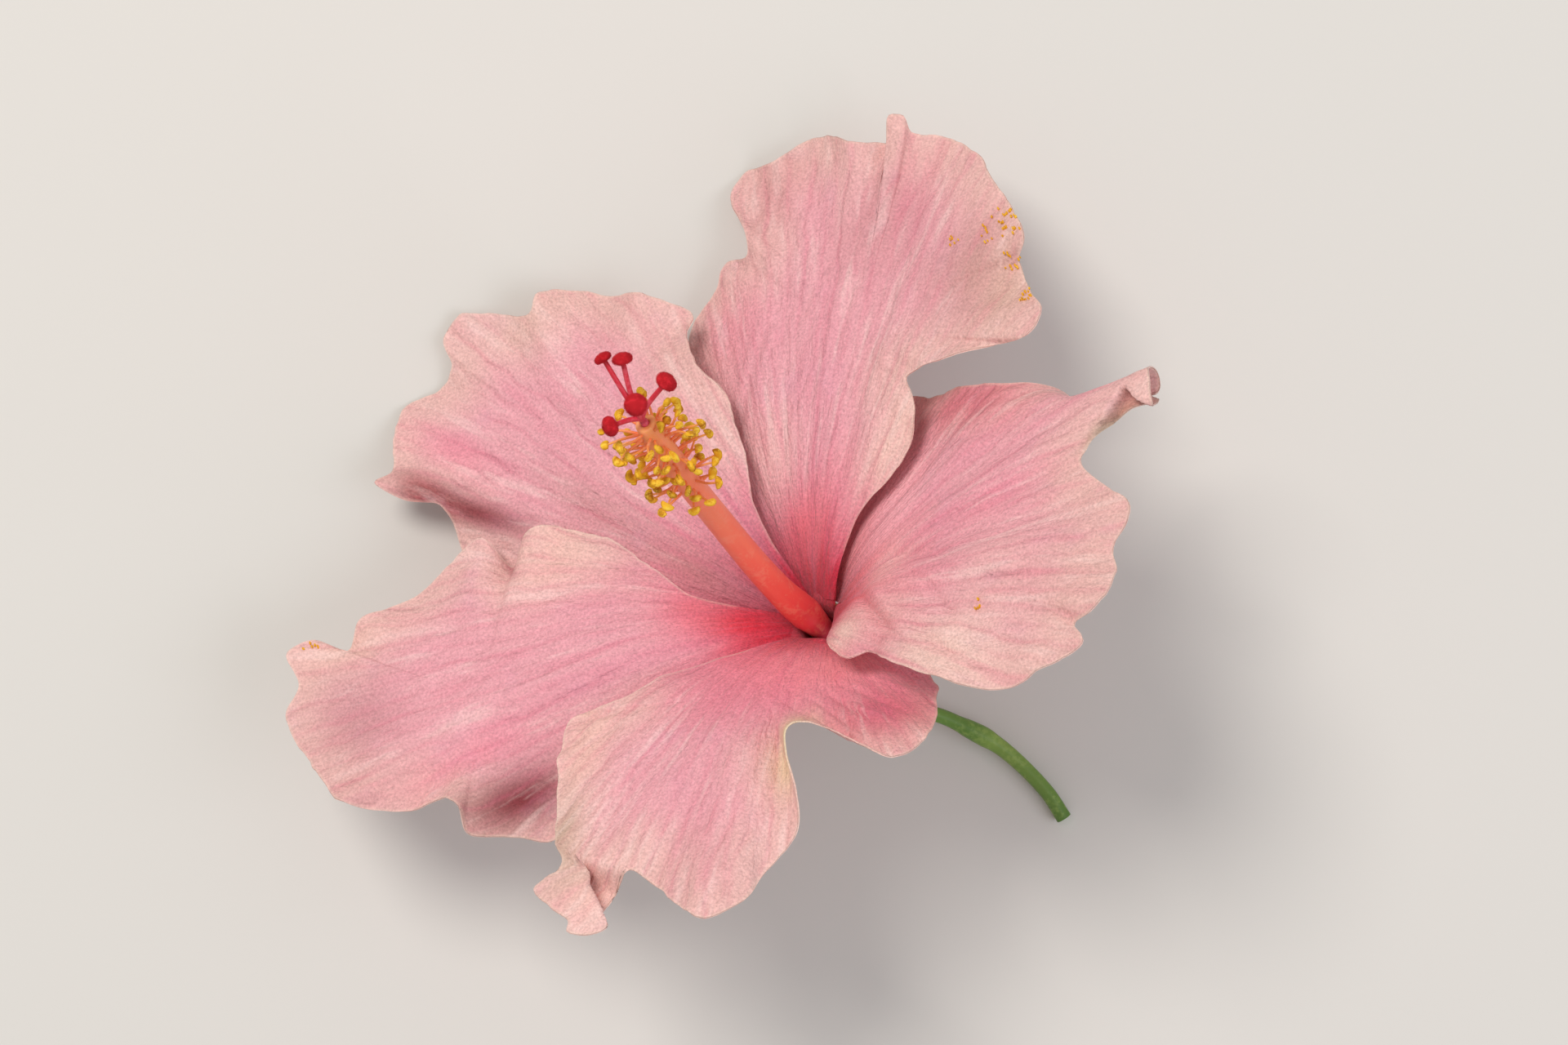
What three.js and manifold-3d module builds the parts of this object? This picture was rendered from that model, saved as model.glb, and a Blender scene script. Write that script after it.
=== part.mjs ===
// A hibiscus flower, picked with a short stalk and lying on its stalk's end and the rims of two petals.
// Millimetres, +Z up. The flower is modelled round its own axis, with the throat at the origin, and is
// then laid down as one group.

import * as THREE from "three";
import { mergeVertices } from "three/addons/utils/BufferGeometryUtils.js";
import Module from "manifold-3d";

const wasm = await Module();
wasm.setup();

// ---- Driving dimensions -------------------------------------------------------------------------------

const PETAL_LENGTH = 70; // claw to tip of a typical petal, which sets where its arch is highest
const PETAL_ARCH = 5; // how far a petal's middle stands above the line from claw to tip
const PETAL_THICKNESS = 0.6;
const OVERLAP_LIFT = 1.1; // each petal's clockwise side is raised over its neighbour by this much
const OVERLAP_WIDTH = 3; // half the width over which that lift is reached
const OVERLAP_SLOPE = 0.035; // and it goes on rising a little towards that side
const RUFFLE_DECAY = 2.2; // power by which the margin's frill fades towards the middle of the blade
const CLAW_RADIUS = 3.4; // distance of the claws from the axis, at the throat
const CLAW_DEPTH = -2; // height of the claws along the axis
const CLAW_HALF_WIDTH = 2.3;
const CLAW_FOOT_RADIUS = 2.4; // where the claws stand inside the calyx
const CLAW_FOOT_DEPTH = -13;
const CLAW_FOOT_HALF_WIDTH = 0.9;

const COLUMN_TOP = 52.5; // end of the staminal tube, along the axis
const COLUMN_BORE = 0.95; // radius of the channel that the style runs in
const STYLE_RADIUS = 0.55;
const STAMEN_COUNT = 84;
const STAMEN_FIRST = 34.5; // the free filaments start here, along the axis
const FILAMENT_RADIUS = 0.3;
const ANTHER_RADIUS = 0.85;
const STIGMA_RADIUS = 1.35;
const BRANCH_RADIUS = 0.42;

const OVARY_TOP = -15.2;
const OVARY_BOTTOM = -22.2;
const OVARY_RADIUS = 2.4;
const CALYX_BASE = -24.9;
const CALYX_WALL = 0.8;
const BRACT_COUNT = 7;
const BRACT_LENGTH = 15;
const COLLAR_HEIGHT = -25.9;
const STALK_TOP = -26.9;
const STALK_RADIUS = 1.1;

// How the flower lies: its axis leans from the vertical, towards a compass heading, and the throat stands
// above the surface. The sideways shift centres the whole over the origin.
const AXIS_LEAN = 40;
const AXIS_HEADING = 128.3;
const THROAT_PLACE = [13.6, -14.75, 32.7];

// ---- Petals -------------------------------------------------------------------------------------------

// Each petal has its own plane: azimuth of the claw round the axis, and the cone angle between that plane
// and the axis. In the plane, x runs to the clockwise side, y from the claw to the tip, and the third number
// is how far the frilled margin stands above the plane there. The margin runs from the side that lies under
// the next petal, round the tip, to the side that lies over its other neighbour. The hub is a point from
// which all of the margin is seen. A hollow lies to the left of each of its edges (x, y to x, y): its
// floor is sunk by the depth and moved by the shift, and the blade beside its second edge leans over it.
const PETALS = [
  {
    name: "petal_top",
    azimuth: -56,
    cone: 74,
    hub: [-5, 38],
    margin: [
      [-5, 1, -0.3], [-10.5, 4, -0.6], [-16.5, 9.5, -1], [-22, 16, -1.5], [-28.5, 22, -2.5],
      [-33, 29.5, -3.5], [-35.5, 37, -3.5], [-33, 43, -2.5], [-33, 47, -3], [-28, 48, 0], [-29.5, 51.5, 1],
      [-35, 57, 0], [-35, 61, -1.6], [-29, 63, 0.5], [-27, 67, -2.5], [-21, 68, 0.5], [-15, 67, 3],
      [-11, 68, 0], [-9.8, 68.2, 1.5], [-10, 71.4, 3], [-7.8, 71.8, 2.5], [-6.9, 69.9, 0], [-3.5, 70.4, -2],
      [0, 70, -3], [5, 68, -2], [10, 64, 0], [16, 59, 2], [20, 55, 2.5], [19, 52, 0],
      [22, 48, -1], [26, 45, 2], [26, 41, 3],
      [20, 39, 0.5], [15, 36, 2], [10, 34, 1], [7.3, 32.4, 0.4], [9.2, 29.8, 0], [10.3, 27, -0.5],
      [10.3, 23.4, -1.5], [9, 19.9, -2.4], [6, 15.4, -2.6], [3.8, 11.4, -2], [2.8, 6.5, -1], [2.5, 3, -0.3],
    ],
  },
  {
    name: "petal_upper_left",
    azimuth: 12,
    cone: 74,
    hub: [-3, 42],
    margin: [
      [-5, 3, -0.5], [-11, 8, -1.5], [-16, 16, -3], [-20, 27, -3.5], [-24, 37, -4], [-25, 46, -4],
      [-23, 50, -3], [-22, 54, -1.5], [-25, 59, 0], [-26, 63, 3], [-23, 63, 1.5], [-19, 67, 0],
      [-14, 70, -1.5], [-9, 68, -2], [-5, 68, 0], [-3, 71, 2], [1, 72, 0.5], [5, 68, -1], [8, 62, 1.5],
      [11, 63, 2.5], [15, 60, -0.5], [18, 56, -1.5], [21, 49, 1.5], [23, 42, -1], [20, 40, 0.5],
      [17, 34, 2], [16.5, 28, 1.2], [13.4, 22.5, 0.5], [10.7, 18.4, 0], [7, 13.6, -0.2], [4.4, 8.3, -0.2],
      [3.2, 3.8, 0],
    ],
  },
  {
    name: "petal_lower_left",
    azimuth: 76,
    cone: 78,
    hub: [5, 45],
    margin: [
      [-4, 3.5, -0.5], [-7, 10, -1.5], [-10.5, 18, -2.5], [-13, 27, -3.5], [-17, 35, -3.5], [-19, 42, -3],
      [-16, 48, -1], [-15, 52.5, 1], [-11.5, 52.5, 2], [-8, 54.5, 0.5], [-6, 59, -1.5], [-4, 64, -1],
      [-2, 69, 2], [1, 70, 1], [9, 72, -1], [17, 73, -1.5], [20, 70, 0.5], [24, 70, 2.5], [25, 66, 1.5],
      [23, 62, -1], [26, 58, 1], [27, 52, -0.5], [29, 44, -1], [30, 38, 1.5], [25, 35, -1.5], [26, 31, 3],
      [24, 25, 2.5], [20, 20, 2], [14, 15.8, 1.2], [7.6, 11.8, 0.5], [4.6, 6.9, 0.3], [3.2, 3.2, 0.2],
    ],
  },
  {
    name: "petal_bottom",
    azimuth: 140,
    cone: 74,
    hub: [1, 15],
    margin: [
      [-3, 1, -0.5], [-8, 0, -1.5], [-13, 1, -2.5], [-19, 6, -3.5], [-23, 15, -3], [-24, 24, -1],
      [-21, 28, 0], [-16, 26, 1], [-12, 24, 2], [-9, 23, 2.5], [-6, 25, 4], [-6.5, 29, 3],
      [-8.5, 34, 1.5], [-9, 39, -0.5], [-5, 45, -1.5], [-4, 51, 0.5], [0, 55, 1.5], [5, 52, 0],
      [9.5, 48.3, -0.5], [13, 46.6, -0.2], [14.2, 48, 0], [15.4, 50.6, 0], [16.8, 53.4, 0],
      [18.8, 56.3, 0], [20.6, 56.3, 0.5], [21, 54.6, 0.8], [22.8, 52.9, 1], [26.2, 50.1, 1],
      [25.3, 48.3, 0.6], [24.5, 46.9, 0.5], [24.4, 44.5, 0.8], [26, 38, 0.5], [28, 28, 1], [28, 22, 2],
      [24, 20, 2.5], [20, 17, 2], [16, 12, 1.5], [11.5, 8.8, 1], [7, 5.6, 0.8], [4, 3, 0.5],
    ],
    // behind the lower corner, which leans over it
    hollow: {
      edges: [[13.4, 47.6, 20, 45.4], [20.1, 46.3, 16.2, 54.8], [9.2, 56, 9.2, 44]],
      depth: 3.4,
      wall: 2,
      shift: [1.8, -0.5],
      overhang: [-4, 1.5],
    },
  },
  {
    name: "petal_right",
    azimuth: 236,
    cone: 74,
    hub: [-4, 20],
    margin: [
      [-4.5, -2.5, 0.5], [-9.5, -5.5, 2.5], [-17, -7.5, 4], [-24, -7, 3], [-31, -5, 0.5], [-35, 1, -2],
      [-35, 8, -3], [-31, 16, -1.5], [-28, 25, 0.5], [-26, 31, 1.5], [-26, 36, 0], [-28.5, 41, 0],
      [-30, 45, 0], [-28.5, 49.3, 0], [-25, 52.8, 0], [-20.8, 54.1, 0.8], [-17.7, 53.5, 0],
      [-16.2, 52.2, 0], [-15.2, 50.4, 0], [-14, 48.3, 0], [-12.4, 46.6, 0], [-10.4, 45.2, 0],
      [-7.8, 44.4, 0], [-1, 50, 1.5], [2, 53, 1], [5, 53, 0], [8, 50, -1], [13, 51, 0], [19, 49, 1.5],
      [19, 45, 0], [23, 47, 1], [26, 39, -0.5], [26, 32, 0], [22, 24, 1], [17, 16, 2], [12, 11, 1],
      [13, 8, 2.5], [8, 3, 2.5], [4, 2, 1],
    ],
    // the outer corner is rolled back under the petal, round a line along its side
    roll: { through: [-18.6, 42], direction: 96, radius: 2.7, flare: 0.3 },
    hollow: {
      edges: [[-19.2, 50.3, -9.4, 45], [-17.4, 54, -19.2, 50.3], [-9.2, 40, -9.2, 56]],
      depth: 2.7,
      wall: 2,
      shift: [-1.5, -0.3],
      overhang: [4, 0.6],
    },
  },
];

const RINGS = 6; // rings of facets from hub to margin
const SPOKES = 50; // facets round the margin

// ---- Small helpers ------------------------------------------------------------------------------------

const rad = THREE.MathUtils.degToRad;

// A seeded draw between 0 and 1, so that the stamens fall the same way every time.
function seededDraw(seed) {
  let state = seed;
  return () => {
    state = (state * 1664525 + 1013904223) % 4294967296;
    return state / 4294967296;
  };
}

function geometryOf(points, triangles) {
  const geometry = new THREE.BufferGeometry();
  const numbers = points.flatMap((p) => [p.x, p.y, p.z]);
  geometry.setAttribute("position", new THREE.Float32BufferAttribute(numbers, 3));
  geometry.setIndex(triangles.flat());
  return geometry;
}

function solidOf(source) {
  const bare = source.clone();
  bare.deleteAttribute("normal");
  bare.deleteAttribute("uv");
  const merged = mergeVertices(bare, 1e-4);
  const mesh = new wasm.Mesh({
    numProp: 3,
    vertProperties: new Float32Array(merged.attributes.position.array),
    triVerts: new Uint32Array(merged.index.array),
  });
  return new wasm.Manifold(mesh);
}

function geometryOfSolid(solid) {
  const mesh = solid.getMesh();
  const geometry = new THREE.BufferGeometry();
  geometry.setAttribute("position", new THREE.BufferAttribute(new Float32Array(mesh.vertProperties), 3));
  geometry.setIndex(new THREE.BufferAttribute(new Uint32Array(mesh.triVerts), 1));
  return geometry;
}

function joined(geometries) {
  const solids = geometries.map(solidOf);
  return geometryOfSolid(solids.reduce((sum, solid) => sum.add(solid)));
}

// Gives a thin sheet its thickness: the same facets above and below, and a rim between them.
function thickened(points, triangles, outline, thickness) {
  const middle = geometryOf(points, triangles);
  middle.computeVertexNormals();
  const normal = middle.attributes.normal;
  const offset = (side) =>
    points.map((p, i) => new THREE.Vector3().fromBufferAttribute(normal, i).multiplyScalar(side).add(p));
  const count = points.length;
  const upper = triangles;
  const lower = triangles.map(([a, b, c]) => [a + count, c + count, b + count]);
  const rim = outline.flatMap((a, k) => {
    const b = outline[(k + 1) % outline.length];
    return [
      [b, a, a + count],
      [b, a + count, b + count],
    ];
  });
  return geometryOf([...offset(thickness / 2), ...offset(-thickness / 2)], [...upper, ...lower, ...rim]);
}

// A strip of rows of points, all rows alike, made into a closed sheet.
function strip(rows, thickness) {
  const across = rows[0].length;
  const triangles = [];
  for (let r = 0; r < rows.length - 1; r += 1) {
    for (let c = 0; c < across - 1; c += 1) {
      const a = r * across + c;
      triangles.push([a, a + 1, a + across + 1], [a, a + across + 1, a + across]);
    }
  }
  const last = rows.length - 1;
  const outline = [
    ...rows[0].map((_, c) => c),
    ...rows.slice(1, last).map((_, r) => (r + 1) * across + across - 1),
    ...rows[0].map((_, c) => last * across + across - 1 - c),
    ...rows.slice(1, last).map((_, r) => (last - 1 - r) * across),
  ];
  return thickened(rows.flat(), triangles, outline, thickness);
}

// A closed round rod through the given centres, with its own radius at each, and flat ends.
function rod(centres, radii, sides) {
  const points = [];
  const triangles = [];
  const side = new THREE.Vector3(1, 0, 0);
  centres.forEach((centre, k) => {
    const ahead = centres[Math.min(k + 1, centres.length - 1)];
    const behind = centres[Math.max(k - 1, 0)];
    const along = ahead.clone().sub(behind).normalize();
    side.addScaledVector(along, -side.dot(along)).normalize();
    const up = along.clone().cross(side);
    for (let j = 0; j < sides; j += 1) {
      const angle = (2 * Math.PI * j) / sides;
      const spoke = side.clone().multiplyScalar(Math.cos(angle)).addScaledVector(up, Math.sin(angle));
      points.push(centre.clone().addScaledVector(spoke, radii[k]));
    }
  });
  for (let k = 0; k < centres.length - 1; k += 1) {
    for (let j = 0; j < sides; j += 1) {
      const next = (j + 1) % sides;
      const a = k * sides + j;
      const b = k * sides + next;
      triangles.push([a, b, b + sides], [a, b + sides, a + sides]);
    }
  }
  const end = (centres.length - 1) * sides;
  for (let j = 1; j < sides - 1; j += 1) {
    triangles.push([0, j + 1, j], [end, end + j, end + j + 1]);
  }
  return geometryOf(points, triangles);
}

// ---- Petal shape --------------------------------------------------------------------------------------

function petalArch(y) {
  const along = THREE.MathUtils.clamp(y / PETAL_LENGTH, 0, 1);
  return PETAL_ARCH * 6.75 * along * (1 - along) ** 2;
}

function overlapLift(x) {
  return OVERLAP_LIFT * Math.tanh(x / OVERLAP_WIDTH) + OVERLAP_SLOPE * x;
}

// Distance to the left of a line from one point to another.
function leftOf([x0, y0, x1, y1], x, y) {
  return ((x1 - x0) * (y - y0) - (y1 - y0) * (x - x0)) / Math.hypot(x1 - x0, y1 - y0);
}

// How far a point is inside a hollow, whose floor lies to the left of each of its edges.
function hollowShare(hollow, x, y) {
  const half = hollow.wall / 2;
  const shares = hollow.edges.map((edge) => THREE.MathUtils.smoothstep(leftOf(edge, x, y), -half, half));
  return shares.reduce((product, share) => product * share, 1);
}

// Draws the blade beside a hollow's second edge over the hollow, most at the margin.
function overhung(hollow, x, y, fromMargin) {
  const beside = -leftOf(hollow.edges[1], x, y);
  const past = THREE.MathUtils.smoothstep(beside, -hollow.wall, hollow.wall);
  const outer = 1 - THREE.MathUtils.smoothstep(fromMargin, 0, 9);
  const below = THREE.MathUtils.smoothstep(leftOf(hollow.edges[0], x, y), -1, 1.5);
  const share = past * outer * below * Math.exp(-((beside / 3.5) ** 2));
  return [x + hollow.overhang[0] * share, y + hollow.overhang[1] * share];
}

// Rolls what lies beyond a line back round a cylinder, which widens towards the line's start.
function rolled(point, roll) {
  if (!roll) return point;
  const along = new THREE.Vector2(Math.cos(rad(roll.direction)), Math.sin(rad(roll.direction)));
  const out = new THREE.Vector2(-along.y, along.x);
  const place = new THREE.Vector2(point.x - roll.through[0], point.y - roll.through[1]);
  const beyond = place.dot(out);
  if (beyond <= 0) return point;
  const radius = roll.radius + roll.flare * Math.max(0, -place.dot(along)) ** 2;
  const turn = Math.min(beyond / radius, 2.8);
  const shift = radius * Math.sin(turn) - beyond;
  return new THREE.Vector3(
    point.x + shift * out.x,
    point.y + shift * out.y,
    point.z - radius * (1 - Math.cos(turn)),
  );
}

function petalPoint(petal, x, y, lift, fromMargin) {
  const flat = lift + petalArch(y) + overlapLift(x);
  const { hollow } = petal;
  if (!hollow) return new THREE.Vector3(x, y, flat);
  const share = hollowShare(hollow, x, y);
  const [leanX, leanY] = overhung(hollow, x, y, fromMargin);
  const [shiftX, shiftY] = hollow.shift;
  const z = flat - hollow.depth * share;
  return rolled(new THREE.Vector3(leanX + shiftX * share, leanY + shiftY * share, z), petal.roll);
}

function blade(petal) {
  const corners = [[-CLAW_HALF_WIDTH, 0, 0], ...petal.margin, [CLAW_HALF_WIDTH, 0, 0]];
  const curve = new THREE.CatmullRomCurve3(corners.map((p) => new THREE.Vector3(...p)), false, "centripetal");
  const margin = curve.getSpacedPoints(SPOKES - 1);
  const [hubX, hubY] = petal.hub;
  const points = [petalPoint(petal, hubX, hubY, 0, PETAL_LENGTH)];
  for (let ring = 1; ring <= RINGS; ring += 1) {
    const out = ring / RINGS;
    margin.forEach((m) => {
      const x = hubX + (m.x - hubX) * out;
      const y = hubY + (m.y - hubY) * out;
      const fromMargin = (1 - out) * Math.hypot(m.x - hubX, m.y - hubY);
      points.push(petalPoint(petal, x, y, m.z * out ** RUFFLE_DECAY, fromMargin));
    });
  }
  const at = (ring, spoke) => 1 + (ring - 1) * SPOKES + (spoke % SPOKES);
  const triangles = [];
  for (let spoke = 0; spoke < SPOKES; spoke += 1) {
    triangles.push([0, at(1, spoke + 1), at(1, spoke)]);
    for (let ring = 1; ring < RINGS; ring += 1) {
      const [a, b] = [at(ring, spoke), at(ring, spoke + 1)];
      const [c, d] = [at(ring + 1, spoke), at(ring + 1, spoke + 1)];
      triangles.push([a, b, d], [a, d, c]);
    }
  }
  const outline = margin.map((_, spoke) => at(RINGS, SPOKES - 1 - spoke));
  return thickened(points, triangles, outline, PETAL_THICKNESS);
}

// The claw goes on from the blade, turns down along the axis and stands inside the calyx.
function clawFoot(petal) {
  const cone = rad(petal.cone);
  const inside = (y) => new THREE.Vector2(y, petalArch(y));
  const toLocal = (radius, height) => {
    const [outward, upward] = [radius - CLAW_RADIUS, height - CLAW_DEPTH];
    return new THREE.Vector2(
      outward * Math.sin(cone) + upward * Math.cos(cone),
      upward * Math.sin(cone) - outward * Math.cos(cone),
    );
  };
  const path = [
    inside(3),
    inside(1.2),
    toLocal(3.2, -2.3),
    toLocal(2.75, -3.2),
    toLocal(2.5, -4.6),
    toLocal(CLAW_FOOT_RADIUS, -7),
    toLocal(CLAW_FOOT_RADIUS, CLAW_FOOT_DEPTH),
  ];
  const rows = path.map((place, k) => {
    const narrowing = THREE.MathUtils.lerp(CLAW_HALF_WIDTH - 0.3, CLAW_FOOT_HALF_WIDTH, Math.min(1, k / 3));
    const tilt = Math.max(0, 1 - k / 3);
    return [1, 0, -1].map((side) => {
      const x = side * narrowing;
      return new THREE.Vector3(x, place.x, place.y + tilt * overlapLift(x));
    });
  });
  return strip(rows, PETAL_THICKNESS - 0.12);
}

function petalMesh(petal) {
  const mesh = new THREE.Mesh(joined([blade(petal), clawFoot(petal)]), petalMaterial);
  mesh.name = petal.name;
  const azimuth = rad(petal.azimuth);
  const cone = rad(petal.cone);
  const outward = new THREE.Vector3(Math.cos(azimuth), Math.sin(azimuth), 0);
  const axis = new THREE.Vector3(0, 0, 1);
  const x = outward.clone().cross(axis);
  const y = outward.clone().multiplyScalar(Math.sin(cone)).addScaledVector(axis, Math.cos(cone));
  const z = x.clone().cross(y);
  mesh.quaternion.setFromRotationMatrix(new THREE.Matrix4().makeBasis(x, y, z));
  mesh.position.copy(outward.multiplyScalar(CLAW_RADIUS)).addScaledVector(axis, CLAW_DEPTH);
  return mesh;
}

// ---- Staminal column ----------------------------------------------------------------------------------

// The tube of joined filaments stands a little off the flower's axis.
const columnLine = new THREE.CatmullRomCurve3(
  [
    [0, 0, -13.2],
    [0, 0, -5],
    [0, 0.3, -1],
    [0, 1.1, 6],
    [0, 1.5, 14],
    [0, 1.6, 30],
    [0, 1.5, 42],
    [0, 1.1, COLUMN_TOP],
  ].map((p) => new THREE.Vector3(...p)),
  false,
  "centripetal",
);
const COLUMN_PROFILE = [
  [-13.2, 1.7],
  [-5, 1.7],
  [-2.5, 2],
  [0, 2.35],
  [3, 2.3],
  [8, 2.05],
  [20, 1.9],
  [40, 1.8],
  [49, 1.7],
  [COLUMN_TOP, 1.45],
];

function columnRadius(height) {
  const above = COLUMN_PROFILE.findIndex(([h]) => h >= height);
  if (above <= 0) return COLUMN_PROFILE[Math.max(above, 0)][1];
  const [h0, r0] = COLUMN_PROFILE[above - 1];
  const [h1, r1] = COLUMN_PROFILE[above];
  return THREE.MathUtils.mapLinear(height, h0, h1, r0, r1);
}

// The point of the column's centre line at a height along the axis.
function columnCentre(height) {
  const samples = 400;
  for (let k = 1; k <= samples; k += 1) {
    const point = columnLine.getPoint(k / samples);
    if (point.z >= height) return point;
  }
  return columnLine.getPoint(1);
}

// The five style branches, by the place of each stigma above the column's end.
const STIGMAS = [
  { place: [4.4, -1, 10.2], size: 0.85 },
  { place: [2.4, -2.9, 9.9], size: 1 },
  { place: [-2.1, -5.6, 6.1], size: 1.1 },
  { place: [-3.3, -0.6, 7.6], size: 1.15 },
  { place: [-1.4, 3.8, 5.3], size: 1 },
].map(({ place, size }) => ({ place: new THREE.Vector3(...place), size }));
const columnEnd = columnLine.getPoint(1);

function branchCurve(stigma) {
  const tip = columnEnd.clone().add(stigma.place);
  const bend = columnEnd.clone();
  bend.x += stigma.place.x * 0.3;
  bend.y += stigma.place.y * 0.3;
  bend.z += stigma.place.z * 0.52;
  const start = columnEnd.clone();
  start.z -= 0.4;
  const leave = columnEnd.clone();
  leave.z += 1;
  return new THREE.CatmullRomCurve3([start, leave, bend, tip], false, "centripetal");
}

// A small anther: a flattened, low ball.
function ball(centre, radius, flatten, detail) {
  const geometry = new THREE.IcosahedronGeometry(radius, detail);
  geometry.scale(1, 1, flatten);
  geometry.translate(centre.x, centre.y, centre.z);
  return geometry;
}

function stamens() {
  const draw = seededDraw(7);
  const branches = STIGMAS.flatMap((s) => branchCurve(s).getPoints(8));
  const pieces = [];
  for (let k = 0; k < STAMEN_COUNT; k += 1) {
    const share = (k + 0.5) / STAMEN_COUNT;
    const height = THREE.MathUtils.lerp(STAMEN_FIRST, COLUMN_TOP - 1.2, share ** 0.7);
    const angle = k * 2.39996 + 0.5 * (draw() - 0.5);
    const length = 1.5 + (2.4 + 1.8 * share) * draw();
    const rise = rad(5 + 40 * draw() * share);
    const centre = columnCentre(height);
    const outward = new THREE.Vector3(Math.cos(angle), Math.sin(angle), 0);
    const root = centre.clone().addScaledVector(outward, columnRadius(height) * 0.5);
    const reach = columnRadius(height) * 0.5 + length;
    const along = outward.clone().multiplyScalar(Math.cos(rise));
    along.z = Math.sin(rise);
    const tip = root.clone().addScaledVector(along, reach);
    if (branches.some((p) => p.distanceTo(tip) < ANTHER_RADIUS + BRANCH_RADIUS + 0.9)) continue;
    pieces.push(rod([root, tip], [FILAMENT_RADIUS, FILAMENT_RADIUS], 4));
    pieces.push(ball(tip, ANTHER_RADIUS, 0.75, 0));
  }
  return pieces;
}

function columnMesh() {
  const heights = [-13.2, -9, -5, -2.5, 0, 3, 8, 14, 20, 27, 34, 41, 47, 50.5, COLUMN_TOP];
  const centres = heights.map(columnCentre);
  const tube = rod(centres, heights.map(columnRadius), 12);
  const channel = rod(
    [centres[0].clone().setZ(-15), ...centres, centres.at(-1).clone().setZ(COLUMN_TOP + 2)],
    Array(centres.length + 2).fill(COLUMN_BORE),
    8,
  );
  const grown = [tube, ...stamens()].map(solidOf).reduce((sum, solid) => sum.add(solid));
  const mesh = new THREE.Mesh(geometryOfSolid(grown.subtract(solidOf(channel))), columnMaterial);
  mesh.name = "staminal_column";
  return mesh;
}

// ---- Pistil: the style with its five stigmas, and the ovary -------------------------------------------

function styleMesh() {
  const heights = [-14.8, -9, -5, -1, 3, 8, 14, 22, 30, 38, 45, 50, COLUMN_TOP - 0.3, COLUMN_TOP + 0.8];
  const style = rod(
    heights.map((h) => (h > COLUMN_TOP - 0.5 ? columnEnd.clone().setZ(h) : columnCentre(h))),
    heights.map(() => STYLE_RADIUS),
    8,
  );
  const pieces = [style];
  STIGMAS.forEach((stigma) => {
    const curve = branchCurve(stigma);
    const centres = curve.getPoints(6);
    pieces.push(rod(centres, centres.map(() => BRANCH_RADIUS), 6));
    const pad = ball(new THREE.Vector3(), STIGMA_RADIUS * stigma.size, 0.72, 1);
    const lean = new THREE.Quaternion().setFromUnitVectors(new THREE.Vector3(0, 0, 1), curve.getTangent(1));
    pad.applyQuaternion(lean);
    const tip = centres.at(-1);
    pad.translate(tip.x, tip.y, tip.z);
    pieces.push(pad);
  });
  const mesh = new THREE.Mesh(joined(pieces), styleMaterial);
  mesh.name = "style";
  return mesh;
}

function ovaryMesh() {
  const half = (OVARY_TOP - OVARY_BOTTOM) / 2;
  const profile = [
    [0, -1],
    [0.55, -0.93],
    [0.92, -0.55],
    [1, -0.1],
    [0.86, 0.35],
    [0.55, 0.75],
    [0.24, 1],
    [0, 1],
  ].map(([r, h]) => new THREE.Vector2(r * OVARY_RADIUS, h * half));
  const geometry = new THREE.LatheGeometry(profile, 12);
  geometry.rotateX(Math.PI / 2);
  geometry.translate(0, 0, (OVARY_TOP + OVARY_BOTTOM) / 2);
  const mesh = new THREE.Mesh(geometry, calyxMaterial);
  mesh.name = "ovary";
  return mesh;
}

// ---- Calyx, epicalyx and stalk -------------------------------------------------------------------------

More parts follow.
